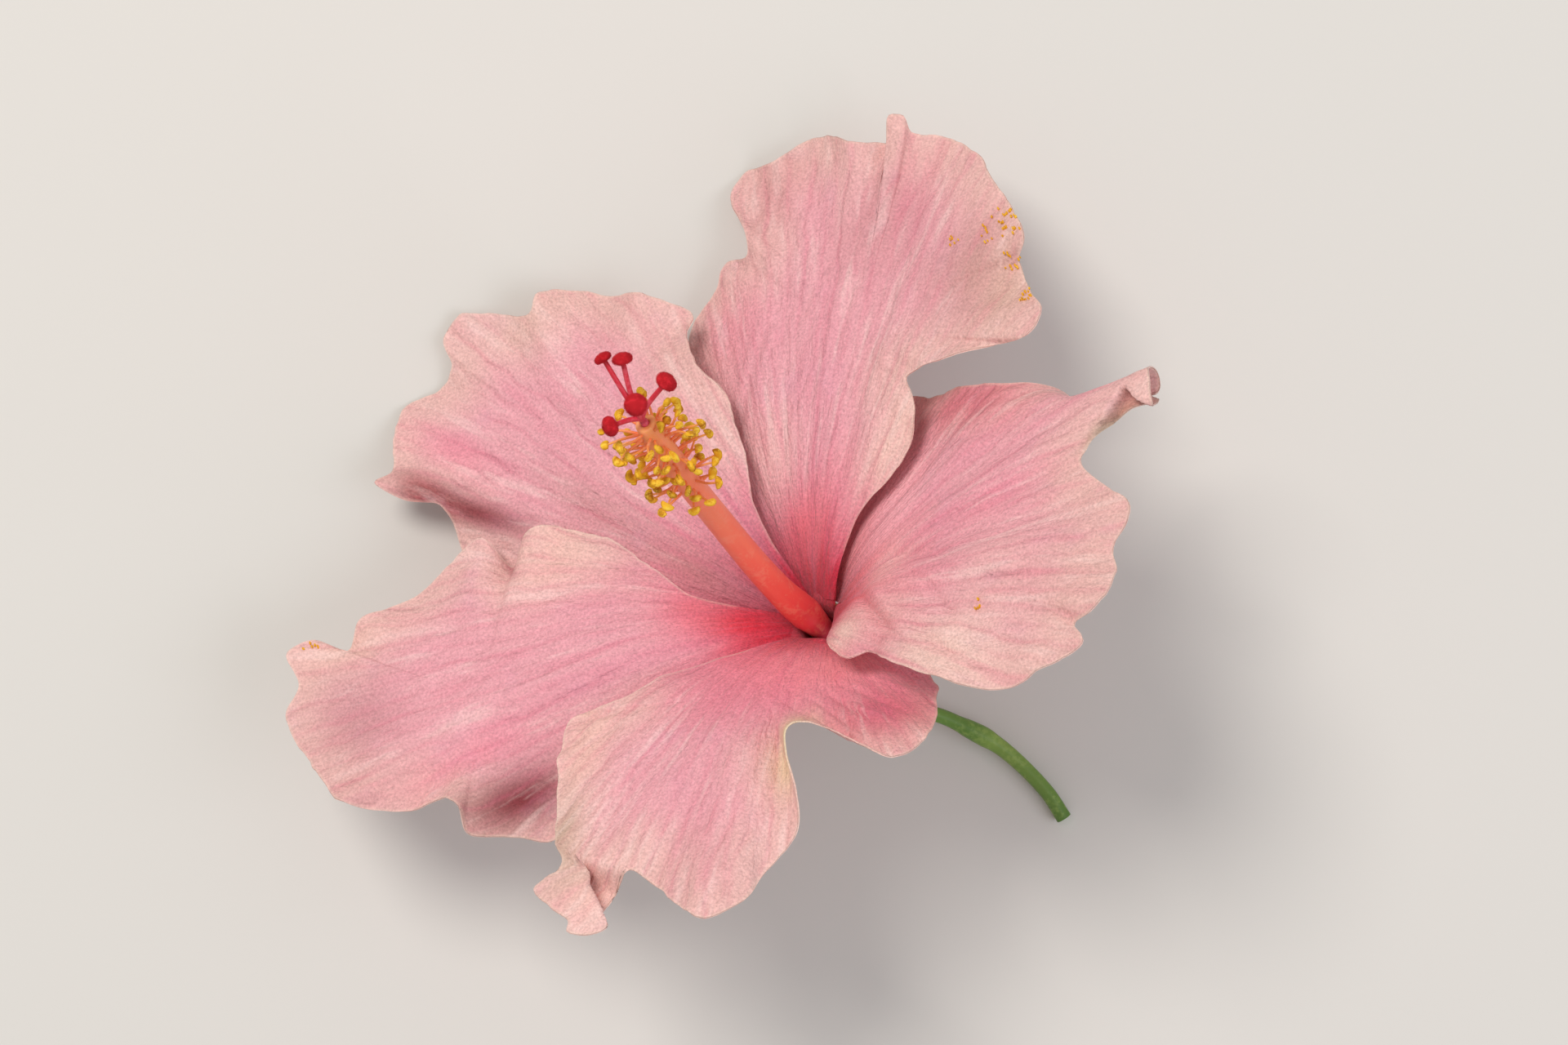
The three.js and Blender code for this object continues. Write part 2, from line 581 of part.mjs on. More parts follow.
// A green cup with five pointed lobes, which stand between the petals.
function calyxMesh() {
  const lobes = 5;
  const steps = 30;
  const firstLobe = rad(-58);
  const profile = [
    [CALYX_BASE, 1.6],
    [-23.4, 3.3],
    [-20, 4.1],
    [-15, 4.3],
    [-10, 4.2],
    [-7, 4.5],
  ];
  const tipRadius = 6.2;
  const tipHeight = -5;
  const outer = [];
  for (let k = 0; k < steps; k += 1) {
    const angle = firstLobe + (2 * Math.PI * k) / steps;
    const phase = ((k * lobes) / steps) % 1;
    const lobe = (1 - Math.abs(2 * phase - 1)) ** 0.9;
    const column = profile.map(([h, r]) => [r, h]);
    column.push([THREE.MathUtils.lerp(4.7, tipRadius - 1.4, lobe), THREE.MathUtils.lerp(-6.6, -5.2, lobe)]);
    column.push([THREE.MathUtils.lerp(4.8, tipRadius, lobe), THREE.MathUtils.lerp(-6.3, tipHeight, lobe)]);
    outer.push(column.map(([r, h]) => new THREE.Vector3(r * Math.cos(angle), r * Math.sin(angle), h)));
  }
  // the wall between the outer face and an inner face drawn in by its thickness, with a solid floor
  const inner = outer.map((column) =>
    column.slice(1).map((p, k) => {
      const radius = Math.hypot(p.x, p.y);
      const shrink = (radius - CALYX_WALL) / radius;
      const rise = k === 0 ? 0.6 : 0.15;
      return new THREE.Vector3(p.x * shrink, p.y * shrink, p.z + rise);
    }),
  );
  const points = [...outer.flat(), ...inner.flat()];
  const tall = outer[0].length;
  const short = inner[0].length;
  const outside = (k, j) => (k % steps) * tall + j;
  const inside = (k, j) => steps * tall + (k % steps) * short + j;
  const bottom = points.push(new THREE.Vector3(0, 0, CALYX_BASE)) - 1;
  const floor = points.push(new THREE.Vector3(0, 0, inner[0][0].z)) - 1;
  const triangles = [];
  for (let k = 0; k < steps; k += 1) {
    triangles.push([bottom, outside(k + 1, 0), outside(k, 0)], [floor, inside(k, 0), inside(k + 1, 0)]);
    for (let j = 0; j < tall - 1; j += 1) {
      triangles.push([outside(k, j), outside(k + 1, j), outside(k + 1, j + 1)]);
      triangles.push([outside(k, j), outside(k + 1, j + 1), outside(k, j + 1)]);
    }
    for (let j = 0; j < short - 1; j += 1) {
      triangles.push([inside(k, j), inside(k + 1, j + 1), inside(k + 1, j)]);
      triangles.push([inside(k, j), inside(k, j + 1), inside(k + 1, j + 1)]);
    }
    const [a, b] = [outside(k, tall - 1), outside(k + 1, tall - 1)];
    const [c, d] = [inside(k, short - 1), inside(k + 1, short - 1)];
    triangles.push([a, b, d], [a, d, c]);
  }
  const mesh = new THREE.Mesh(geometryOf(points, triangles), calyxMaterial);
  mesh.name = "calyx";
  return mesh;
}

// A ring of narrow bracts on a small collar, under the calyx.
function epicalyxMesh() {
  const collar = new THREE.CylinderGeometry(2, 1.8, 0.8, 14);
  collar.rotateX(Math.PI / 2);
  collar.translate(0, 0, COLLAR_HEIGHT);
  const pieces = [collar];
  for (let k = 0; k < BRACT_COUNT; k += 1) {
    const angle = (2 * Math.PI * k) / BRACT_COUNT + 0.3;
    const outward = new THREE.Vector3(Math.cos(angle), Math.sin(angle), 0);
    const aside = new THREE.Vector3(-Math.sin(angle), Math.cos(angle), 0);
    const length = BRACT_LENGTH * (1 - 0.12 * (k % 3));
    const rows = [0, 0.15, 0.4, 0.7, 1].map((along) => {
      const reach = 1.1 + length * 0.62 * along ** 0.8;
      const height = COLLAR_HEIGHT + length * 0.72 * along ** 1.35;
      const halfWidth = 0.95 * Math.sin(Math.PI * Math.min(0.22 + 0.7 * along, 0.93));
      const spine = outward.clone().multiplyScalar(reach).setZ(height);
      return [-1, 0, 1].map((side) => {
        const point = spine.clone().addScaledVector(aside, side * halfWidth);
        point.z += 0.12 * Math.abs(side);
        return point;
      });
    });
    pieces.push(strip(rows, 0.6));
  }
  const mesh = new THREE.Mesh(joined(pieces), calyxMaterial);
  mesh.name = "epicalyx";
  return mesh;
}

// The stalk bends away under the flower, swells at its joint, and ends in a straight cut.
const stalkLine = new THREE.CatmullRomCurve3(
  [
    [0, 0, STALK_TOP],
    [0, 0, -28.5],
    [-0.1, -0.9, -31.4],
    [-0.8, -5, -36.2],
    [-3.2, -7.5, -40.5],
    [-6.8, -9.8, -45.4],
    [-13.2, -11, -51.8],
    [-16.7, -10.6, -55.2],
  ].map((p) => new THREE.Vector3(...p)),
  false,
  "centripetal",
);

function stalkMesh() {
  const stations = [0, 0.05, 0.12, 0.25, 0.4, 0.52, 0.58, 0.64, 0.7, 0.8, 0.9, 1];
  const girths = [1.75, 1.35, 1.05, 1, 1, 1.02, 1.22, 1.32, 1.12, 1.02, 1.02, 1.06];
  const centres = stations.map((s) => stalkLine.getPoint(s));
  const mesh = new THREE.Mesh(rod(centres, girths.map((g) => g * STALK_RADIUS), 12), stalkMaterial);
  mesh.name = "stalk";
  return mesh;
}

// ---- Colours and assembly -------------------------------------------------------------------------------

const petalMaterial = new THREE.MeshStandardMaterial({ color: 0xefb3b8, roughness: 0.6, metalness: 0 });
const columnMaterial = new THREE.MeshStandardMaterial({ color: 0xf0764f, roughness: 0.55, metalness: 0 });
const styleMaterial = new THREE.MeshStandardMaterial({ color: 0xc1121f, roughness: 0.7, metalness: 0 });
const calyxMaterial = new THREE.MeshStandardMaterial({ color: 0x6f8f3f, roughness: 0.6, metalness: 0 });
const stalkMaterial = new THREE.MeshStandardMaterial({ color: 0x5f7f35, roughness: 0.6, metalness: 0 });

const flower = new THREE.Group();
flower.add(...PETALS.map(petalMesh));
flower.add(columnMesh(), styleMesh(), ovaryMesh(), calyxMesh(), epicalyxMesh(), stalkMesh());

const lie = new THREE.Matrix4().makeRotationZ(rad(AXIS_HEADING));
lie.multiply(new THREE.Matrix4().makeRotationY(rad(AXIS_LEAN)));
flower.quaternion.setFromRotationMatrix(lie);
flower.position.set(...THROAT_PLACE);

const hibiscus = new THREE.Group();
hibiscus.add(flower);

export default hibiscus;
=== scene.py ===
"""A picked pink hibiscus bloom lying on a pale surface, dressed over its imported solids."""

import math

import bpy
import numpy as np
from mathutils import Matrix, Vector


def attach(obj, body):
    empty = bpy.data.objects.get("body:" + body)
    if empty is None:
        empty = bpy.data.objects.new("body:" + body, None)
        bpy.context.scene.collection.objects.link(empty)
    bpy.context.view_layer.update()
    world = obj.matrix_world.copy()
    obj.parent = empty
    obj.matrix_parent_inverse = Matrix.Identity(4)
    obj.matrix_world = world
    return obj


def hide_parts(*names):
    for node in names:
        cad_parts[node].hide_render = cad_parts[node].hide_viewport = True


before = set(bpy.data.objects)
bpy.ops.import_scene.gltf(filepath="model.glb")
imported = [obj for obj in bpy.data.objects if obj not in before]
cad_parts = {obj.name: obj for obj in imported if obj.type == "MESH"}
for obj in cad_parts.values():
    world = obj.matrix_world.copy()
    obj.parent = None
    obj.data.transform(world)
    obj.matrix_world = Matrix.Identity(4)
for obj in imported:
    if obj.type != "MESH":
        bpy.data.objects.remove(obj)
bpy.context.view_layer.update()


# ---- Stalk ----------------------------------------------------------------------------------------------
# The flower stalk is a fleshy green stem that grew from the plant in one with the flower. It bends away
# under the bloom, swells at its own joint, and was picked with a straight cut that bares a paler heart.

MM = 0.001

# Each piece is worked out in millimetres round the flower's axis, with the throat at the origin, and is
# turned and moved onto the surface last. The numbers are those of the solids.
THROAT = np.array([13.6, -14.75, 32.7])
LEAN = math.radians(40)
HEADING = math.radians(128.3)
SIDE_U = np.array([math.cos(LEAN) * math.cos(HEADING), math.cos(LEAN) * math.sin(HEADING), -math.sin(LEAN)])
SIDE_W = np.array([-math.sin(HEADING), math.cos(HEADING), 0.0])
AXIS = np.cross(SIDE_U, SIDE_W)

STALK_RADIUS = 1.1
STALK_LINE = [
    (0, 0, -26.9), (0, 0, -28.5), (-0.1, -0.9, -31.4), (-0.8, -5, -36.2), (-3.2, -7.5, -40.5),
    (-6.8, -9.8, -45.4), (-13.2, -11, -51.8), (-16.7, -10.6, -55.2),
]
# (share of the way from the flower to the cut, times the radius)
STALK_GIRTH = [
    (0, 1.75), (0.05, 1.35), (0.12, 1.05), (0.25, 1), (0.4, 1), (0.52, 1.02), (0.58, 1.22), (0.64, 1.32),
    (0.7, 1.12), (0.8, 1.02), (0.9, 1.02), (1, 1.06),
]
STALK_RINGS = 130
STALK_SIDES = 32
STALK_RIBS = 7
STALK_RIB_SHARE = 0.02
# Rings of the picked end, as shares of its radius.
CUT_RINGS = (0.8, 0.35)
STALK_GREENS = [(0, "#86A04C"), (0.3, "#6F9040"), (0.6, "#5F8437"), (0.66, "#7E9A46"), (1, "#587A33")]
CUT_HEART = [(0, "#A9BC78"), (1, "#DDE0B4")]


def laid_down(points):
    """Points round the flower's axis, in mm, as they lie on the surface, in metres."""
    return (THROAT + np.asarray(points, float) @ np.array([SIDE_U, SIDE_W, AXIS])) * MM


def spline(points, steps):
    """Centripetal Catmull-Rom curve through the points, at shares 0 to 1 of its parameter."""
    points = np.asarray(points, float)
    ends = np.vstack([2 * points[0] - points[1], points, 2 * points[-1] - points[-2]])
    place = np.asarray(steps, float) * (len(points) - 1)
    span = np.minimum(place.astype(int), len(points) - 2)
    t = (place - span)[:, None]
    p0, p1, p2, p3 = ends[span], ends[span + 1], ends[span + 2], ends[span + 3]
    pairs = ((p0, p1), (p1, p2), (p2, p3))
    g0, g1, g2 = (np.maximum(np.linalg.norm(b - a, axis=1), 1e-8)[:, None] ** 0.5 for a, b in pairs)
    leave = ((p1 - p0) / g0 - (p2 - p0) / (g0 + g1) + (p2 - p1) / g1) * g1
    arrive = ((p2 - p1) / g1 - (p3 - p1) / (g1 + g2) + (p3 - p2) / g2) * g1
    squared = 3 * (p2 - p1) - 2 * leave - arrive
    cubed = 2 * (p1 - p2) + leave + arrive
    return p1 + leave * t + squared * t**2 + cubed * t**3


def tube_rings(centres, radii, sides):
    """Rings of points round a line of centres; radii is one number to a ring, or one to a point."""
    ahead = np.vstack([centres[1:], centres[-1:]]) - np.vstack([centres[:1], centres[:-1]])
    ahead /= np.linalg.norm(ahead, axis=1)[:, None]
    side = np.array([1.0, 0, 0])
    if abs(ahead[0, 0]) > 0.9:
        side = np.array([0, 1.0, 0])
    angle = 2 * np.pi * np.arange(sides) / sides
    rings = []
    for centre, along, radius in zip(centres, ahead, radii):
        side = side - along * (side @ along)
        side /= np.linalg.norm(side)
        up = np.cross(along, side)
        spokes = np.cos(angle)[:, None] * side + np.sin(angle)[:, None] * up
        rings.append(centre + spokes * np.reshape(radius, (-1, 1)))
    return np.array(rings)


def ring_faces(rings, sides, close_ends=True, first=0):
    """Quads between rings of points, and a fan at each end."""
    faces = []
    for ring in range(rings - 1):
        for side in range(sides):
            nxt = (side + 1) % sides
            low = first + ring * sides
            faces.append((low + side, low + nxt, low + sides + nxt, low + sides + side))
    if close_ends:
        top = first + (rings - 1) * sides
        faces.append(tuple(first + k for k in reversed(range(sides))))
        faces.append(tuple(top + k for k in range(sides)))
    return faces


def new_piece(name, points, faces, material, values=None):
    """A smooth mesh from points in metres, with its named values at each point."""
    mesh = bpy.data.meshes.new(name)
    mesh.from_pydata([tuple(p) for p in points], [], [tuple(int(i) for i in f) for f in faces])
    for key, value in (values or {}).items():
        value = np.asarray(value, np.float32)
        kind = {1: "FLOAT", 3: "FLOAT_VECTOR", 4: "FLOAT_COLOR"}[1 if value.ndim == 1 else value.shape[1]]
        made = mesh.attributes.new(key, kind, "POINT")
        field = {"FLOAT": "value", "FLOAT_VECTOR": "vector", "FLOAT_COLOR": "color"}[kind]
        made.data.foreach_set(field, value.ravel())
    mesh.shade_smooth()
    mesh.materials.append(material)
    piece = bpy.data.objects.new(name, mesh)
    bpy.context.scene.collection.objects.link(piece)
    return piece


def linear(code):
    """A hex sRGB colour as linear RGBA."""
    parts = [int(code[k : k + 2], 16) / 255 for k in (1, 3, 5)]
    return (*[p / 12.92 if p <= 0.04045 else ((p + 0.055) / 1.055) ** 2.4 for p in parts], 1.0)


def ramp(value, stops):
    """A colour along a scale, from stops of (value, hex colour)."""
    places = [place for place, _ in stops]
    colours = np.array([linear(code) for _, code in stops])
    return np.stack([np.interp(value, places, colours[:, k]) for k in range(4)], -1)


def node(tree, kind, inputs=None, **settings):
    """Adds a node; an input is a value or an output socket to link from."""
    made = tree.nodes.new(kind)
    for key, value in settings.items():
        setattr(made, key, value)
    for key, value in (inputs or {}).items():
        if isinstance(value, bpy.types.NodeSocket):
            tree.links.new(value, made.inputs[key])
        else:
            made.inputs[key].default_value = value
    return made


def tissue(name, roughness, grain, bump_depth, blotch, blotch_share, inside_share=0.0, inside_depth=0.8):
    """Moist plant tissue coloured by "tone", with blotches, a fine grain and a little light through it.

    The grain's width, the bump and the depth that light reaches are in mm; a blotch is 5.5 grains wide.
    """
    material = bpy.data.materials.new(name)
    material.use_nodes = True
    tree = material.node_tree
    place = node(tree, "ShaderNodeTexCoord").outputs["Object"]
    fine_inputs = {"Vector": place, "Scale": 1 / (grain * MM), "Detail": 3.0, "Roughness": 0.6}
    fine = node(tree, "ShaderNodeTexNoise", fine_inputs).outputs["Fac"]
    broad_inputs = {"Vector": place, "Scale": 0.18 / (grain * MM), "Detail": 2.0}
    broad = node(tree, "ShaderNodeTexNoise", broad_inputs).outputs["Fac"]
    total = node(tree, "ShaderNodeMath", {0: fine, 1: broad}, operation="ADD").outputs[0]
    spread = {"Value": total, "From Min": 0.95, "From Max": 1.25, "To Max": blotch_share}
    share = node(tree, "ShaderNodeMapRange", spread, interpolation_type="SMOOTHSTEP").outputs[0]
    tone = node(tree, "ShaderNodeAttribute", attribute_name="tone").outputs["Color"]
    blotch_inputs = {0: share, 6: tone, 7: linear(blotch)}
    blotched = node(tree, "ShaderNodeMix", blotch_inputs, data_type="RGBA").outputs[2]
    bump_inputs = {"Height": fine, "Strength": 0.6, "Distance": bump_depth * MM}
    bump = node(tree, "ShaderNodeBump", bump_inputs).outputs[0]
    shader = tree.nodes["Principled BSDF"]
    tree.links.new(blotched, shader.inputs["Base Color"])
    tree.links.new(bump, shader.inputs["Normal"])
    shader.inputs["Roughness"].default_value = roughness
    shader.inputs["Specular IOR Level"].default_value = 0.35
    shader.inputs["Subsurface Weight"].default_value = inside_share
    shader.inputs["Subsurface Scale"].default_value = inside_depth * MM
    shader.inputs["Subsurface Radius"].default_value = (1.0, 0.35, 0.25)
    return material


# Waxy green skin as it grew: a satin sheen along the stem, with paler flecks.
stalk_skin = tissue("stalk skin, satin green", 0.45, 0.8, 0.05, "#9DB25E", 0.45, 0.1, 0.8)

stations = np.linspace(0, 1, STALK_RINGS)
girth_curve = spline(np.array([(share, times, 0) for share, times in STALK_GIRTH]), np.linspace(0, 1, 300))
girth = np.interp(stations, girth_curve[:, 0], girth_curve[:, 1])
rib_angles = STALK_RIBS * 2 * np.pi * np.arange(STALK_SIDES) / STALK_SIDES
stalk_ribs = 1 + STALK_RIB_SHARE * np.cos(rib_angles)[None, :]
stem = tube_rings(spline(STALK_LINE, stations), STALK_RADIUS * girth[:, None] * stalk_ribs, STALK_SIDES)
cut_centre = stem[-1].mean(0)
cut = [cut_centre + (stem[-1] - cut_centre) * share for share in CUT_RINGS]
stem = np.concatenate([stem, cut])
stem_tone = ramp(np.repeat(stations, STALK_SIDES), STALK_GREENS)
cut_tone = ramp(np.repeat([0.0, 1.0], STALK_SIDES), CUT_HEART)
stalk = new_piece(
    "flower_stalk", laid_down(stem.reshape(-1, 3)), ring_faces(len(stem), STALK_SIDES), stalk_skin,
    {"tone": np.vstack([stem_tone, cut_tone])},
)
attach(stalk, "root")
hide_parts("stalk")


# ---- Epicalyx -------------------------------------------------------------------------------------------
# The epicalyx is a ring of narrow, keeled green bracts. They are small leaves that grew from one collar
# at the top of the stalk, and they stand out round the foot of the calyx.

BRACT_COUNT = 7
BRACT_LENGTH = 15
BRACT_HALF_WIDTH = 0.95
BRACT_HALF_THICKNESS = 0.28
BRACT_KEEL_DEPTH = 0.22
BRACT_ROOT_RADIUS = 1.1
# How far the tip stands out and up, as shares of the bract's length.
BRACT_OUT = 0.62
BRACT_UP = 0.72
BRACT_ROWS = 40
BRACT_ACROSS = 11
BRACT_GREENS = [(0, "#7C9745"), (0.6, "#8BA54E"), (1.2, "#A7B766")]
COLLAR_HEIGHT = -25.9
# (height from the collar's middle, radius)
COLLAR_PROFILE = [(-0.38, 1.7), (-0.2, 1.95), (0.2, 2.05), (0.38, 1.85)]
COLLAR_SIDES = 40
COLLAR_GREEN = [(0, "#7F9A48")]


def vertex_normals(points, faces):
    """Area-weighted normals; faces are all triangles or all quads."""
    a, b, c, d = (points[faces[:, k]] for k in (0, 1, 2, -1))
    across = np.cross(c - a, d - b) if faces.shape[1] == 4 else np.cross(b - a, c - a)
    total = np.zeros_like(points)
    for k in range(faces.shape[1]):
        np.add.at(total, faces[:, k], across)
    return total / np.maximum(np.linalg.norm(total, axis=1), 1e-12)[:, None]


def ribbon(rows, half_thickness):
    """A closed two-sided sheet from rows of points, thinned towards its long edges."""
    rows = np.asarray(rows, float)
    tall, wide = rows.shape[:2]
    index = np.arange(tall * wide).reshape(tall, wide)
    quads = np.stack([index[:-1, :-1], index[:-1, 1:], index[1:, 1:], index[1:, :-1]], -1).reshape(-1, 4)
    flat = rows.reshape(-1, 3)
    up = vertex_normals(flat, quads)
    taper = 1 - 0.75 * np.abs(np.linspace(-1, 1, wide)) ** 3
    half = (half_thickness * np.tile(taper, tall))[:, None]
    count = len(flat)
    edge_loop = np.r_[index[0], index[1:-1, -1], index[-1, ::-1], index[1:-1, 0][::-1]]
    following = np.roll(edge_loop, -1)
    rim = np.stack([following, edge_loop, edge_loop + count, following + count], 1)
    faces = [*quads, *(quads[:, ::-1] + count), *rim]
    return np.vstack([flat + up * half, flat - up * half]), faces


# Green leaf skin as it grew: satin, a little lighter along the keel and edges.
sepal_skin = tissue("calyx skin, satin green", 0.5, 0.7, 0.06, "#A9BC6A", 0.4, 0.15, 0.8)

collar_centres = np.array([(0, 0, COLLAR_HEIGHT + height) for height, _ in COLLAR_PROFILE])
collar = tube_rings(collar_centres, [radius for _, radius in COLLAR_PROFILE], COLLAR_SIDES)
bract_points = [collar.reshape(-1, 3)]
bract_faces = ring_faces(len(COLLAR_PROFILE), COLLAR_SIDES)
bract_tone = [ramp(np.zeros(len(bract_points[0])), COLLAR_GREEN)]
for k in range(BRACT_COUNT):
    angle = 2 * math.pi * k / BRACT_COUNT + 0.3
    outward = np.array([math.cos(angle), math.sin(angle), 0])
    aside = np.array([-math.sin(angle), math.cos(angle), 0])
    length = BRACT_LENGTH * (1 - 0.12 * (k % 3))
    t = np.linspace(0, 1, BRACT_ROWS)
    reach = BRACT_ROOT_RADIUS + length * BRACT_OUT * t**0.8
    height = COLLAR_HEIGHT + length * BRACT_UP * t**1.35
    half_width = BRACT_HALF_WIDTH * np.sin(np.pi * np.minimum(0.22 + 0.76 * t, 0.985))
    # The bract leaves the collar nearly flat and bends up on its way.
    spine = reach[:, None] * outward + height[:, None] * np.array([0, 0, 1.0])
    offsets = np.linspace(-1, 1, BRACT_ACROSS)
    rows = spine[:, None, :] + (half_width[:, None] * offsets[None, :])[..., None] * aside
    rows[..., 2] += BRACT_KEEL_DEPTH * np.abs(offsets)[None, :] ** 1.5
    points, faces = ribbon(rows, BRACT_HALF_THICKNESS)
    first = sum(len(p) for p in bract_points)
    bract_points.append(points)
    bract_faces += [tuple(int(first + i) for i in face) for face in faces]
    along = np.tile(np.repeat(t, BRACT_ACROSS), 2)
    keel = np.tile(np.tile(np.abs(offsets), BRACT_ROWS), 2)
    bract_tone.append(ramp(along + 0.3 * keel, BRACT_GREENS))
bracts = new_piece(
    "bracts", laid_down(np.vstack(bract_points)), bract_faces, sepal_skin, {"tone": np.vstack(bract_tone)}
)
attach(bracts, "root")
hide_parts("epicalyx")


# ---- Calyx ----------------------------------------------------------------------------------------------
# The calyx is a tough green cup of five sepals that grew joined, faintly ribbed along its length. It
# stands on the stalk, and its five pointed lobes reach up between the claws of the petals.

CALYX_BASE = -24.9
CALYX_RIM = -6.3
CALYX_WALL = 0.8
CALYX_TURN = math.radians(-58)
# (radius, height along the axis)
CALYX_PROFILE = [(1.6, CALYX_BASE), (3.3, -23.4), (4.1, -20), (4.3, -15), (4.2, -10), (4.5, -7)]
CALYX_LOBES = 5
CALYX_RIBS = 10
CALYX_RIB_SHARE = 0.012
LOBE_LENGTH = 1.3
LOBE_FLARE = 1.4
CALYX_STEPS_ROUND = 150
CALYX_STEPS_UP = 46
CALYX_GREENS = [(-25, "#6E8A3C"), (-18, "#87A04B"), (-9, "#9CB35B"), (-4, "#B6BE72")]


def smooth(low, high, value):
    """A soft step from 0 at low to 1 at high, either way round."""
    share = np.clip((value - low) / (high - low), 0, 1)
    return share * share * (3 - 2 * share)


around = 2 * np.pi * np.arange(CALYX_STEPS_ROUND) / CALYX_STEPS_ROUND
phase = (np.arange(CALYX_STEPS_ROUND) * CALYX_LOBES / CALYX_STEPS_ROUND) % 1
lobe = (1 - np.abs(2 * phase - 1)) ** 0.9
level = np.linspace(0, 1, CALYX_STEPS_UP)[:, None]
height = CALYX_BASE + (CALYX_RIM + LOBE_LENGTH * lobe[None, :] - CALYX_BASE) * level
calyx_curve = spline(CALYX_PROFILE, np.linspace(0, 1, 200))
radius = np.interp(height, calyx_curve[:, 1], calyx_curve[:, 0])
radius += (0.3 + LOBE_FLARE * lobe[None, :]) * smooth(-7.6, -5, height)
radius *= 1 + CALYX_RIB_SHARE * np.cos(CALYX_RIBS * around)[None, :] * smooth(-23, -18, height)
turn = around[None, :] + CALYX_TURN
outer = np.stack([radius * np.cos(turn), radius * np.sin(turn), height], -1)
inner_radius = radius - CALYX_WALL * smooth(0, 0.08, 1 - level) - 0.12
inner_height = height + 0.5 * (1 - level)
inner = np.stack([inner_radius * np.cos(turn), inner_radius * np.sin(turn), inner_height], -1)[::-1][:-2]
shell = np.concatenate([outer, inner])
rib = np.cos(CALYX_RIBS * np.tile(around, len(shell)))
shell_tone = ramp(shell[..., 2].ravel() + 1.5 * rib, CALYX_GREENS)
calyx = new_piece(
    "calyx_cup", laid_down(shell.reshape(-1, 3)), ring_faces(len(shell), CALYX_STEPS_ROUND), sepal_skin,
    {"tone": shell_tone},
)
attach(calyx, "root")
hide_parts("calyx")


# ---- Ovary ----------------------------------------------------------------------------------------------
# The ovary is a small fleshy pale green egg, hidden in the calyx under the column. It grew on the end of
# the stalk. The solid keeps its shape and takes its skin here.

OVARY_MOTTLES_PER_MM = 0.9

# Wet, unripe tissue: pale, mottled about a millimetre at a time, and duller than the calyx.
ovary_skin = bpy.data.materials.new("ovary skin, pale green")
ovary_skin.use_nodes = True
tree = ovary_skin.node_tree
place = node(tree, "ShaderNodeTexCoord").outputs["Object"]
grain_inputs = {"Vector": place, "Scale": OVARY_MOTTLES_PER_MM / MM, "Detail": 3.0}
grain = node(tree, "ShaderNodeTexNoise", grain_inputs).outputs["Fac"]
mottling = {0: grain, 6: linear("#A8B96A"), 7: linear("#D5DCA2")}
mottled = node(tree, "ShaderNodeMix", mottling, data_type="RGBA").outputs[2]
tree.links.new(mottled, tree.nodes["Principled BSDF"].inputs["Base Color"])
tree.nodes["Principled BSDF"].inputs["Roughness"].default_value = 0.5
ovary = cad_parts["ovary"]
ovary.data.materials.clear()
ovary.data.materials.append(ovary_skin)


# ---- Petals ---------------------------------------------------------------------------------------------
# The five petals are thin, soft, veined blades, each grown on a narrow claw from inside the calyx. A blade
# widens to a frilled margin, is faintly wrinkled all over, and laps over the next one on one side.

PETAL_LENGTH = 70.0
PETAL_ARCH = 5.0
# A blade rises as u (1 - u)^2 along its length; this makes the top of that curve 1.
ARCH_GAIN = 27 / 4
EDGE_HALF_THICKNESS = 0.11
BLADE_HALF_THICKNESS = 0.25
OVERLAP_LIFT = 1.1
OVERLAP_WIDTH = 3
OVERLAP_SLOPE = 0.035
CLAW_RADIUS = 3.4
CLAW_DEPTH = -2.0
CLAW_HALF_WIDTH = 2.3
CLAW_SPOKES = 6
# The claw's foot goes down into the calyx: (radius, height along the axis), and half widths on the way.
CLAW_FOOT = [(3.2, -2.3), (2.75, -3.2), (2.5, -4.6), (2.4, -7), (2.4, -13)]
CLAW_FOOT_HALF_WIDTHS = [(0, CLAW_HALF_WIDTH - 0.1), (2, 2.15), (3, 1.8), (4.2, 1.4)]
CLAW_FOOT_HALF_THICKNESS = 0.22
# It starts inside the blade: (distance along the blade, share of the arch there, depth below it)
CLAW_FOOT_START = [(2.6, 0.24, 0.45), (1.2, 0.11, 0.4)]
CLAW_FOOT_ROWS = 40
CLAW_FOOT_ACROSS = 11
RINGS = 84
SPOKES = 400

# Waves along the margin: (length in mm, height in mm, seed step). A raggedness cuts it, a frill lifts it.
RAGGED = [(3.1, 0.32, 0), (1.1, 0.14, 3)]
FRILL = [(5.2, 0.75, 5), (2.3, 0.4, 6)]
FRILL_REACH = 4.0
# The long waves of the margin reach far into the blade, and the short ones stay near it.
LONG_WAVE_SPOKES = 37
LONG_WAVE_DECAY = 2.2
SHORT_WAVE_DECAY = 5
# Pleats: (how many to a radian, length in mm, height in mm, seed step)
PLEATS = [(8, 50, 0.55, 8), (21, 22, 0.2, 9)]
# Wrinkles: (width, length and height in mm, where they start and are full, seed step)
WRINKLES = [(1.5, 4.5, 0.19, 18, 42, 10), (0.75, 2.4, 0.07, 14, 34, 18)]
# Veins: (angle between two, where they start in mm, strength); more of them start as the blade widens.
VEINS = [(0.21, -10, 1.0), (0.105, 15, 0.75), (0.0525, 34, 0.55)]
VEIN_WIDTH = 0.34
VEIN_ROOT = 6
# Streaks are as wide as they should be this far from the veins' root, and widen from there on.
FAN_RADIUS = 24

# Colours from the throat outwards: (colour, where it starts and is full, in mm from the claw)
THROAT_RED = "#E2354F"
BLADE_PINKS = [("#E8687F", 8, 13), ("#EA93A3", 11, 20), ("#E9A8B2", 17, 34)]
MARGIN_CREAM = "#E9C2B8"
RAY_PINK = "#E58BA3"
BACK_CREAM = "#F2D2C4"
FOOT_RED = "#DA2F4B"
FOOT_PINK = "#EE5A6C"

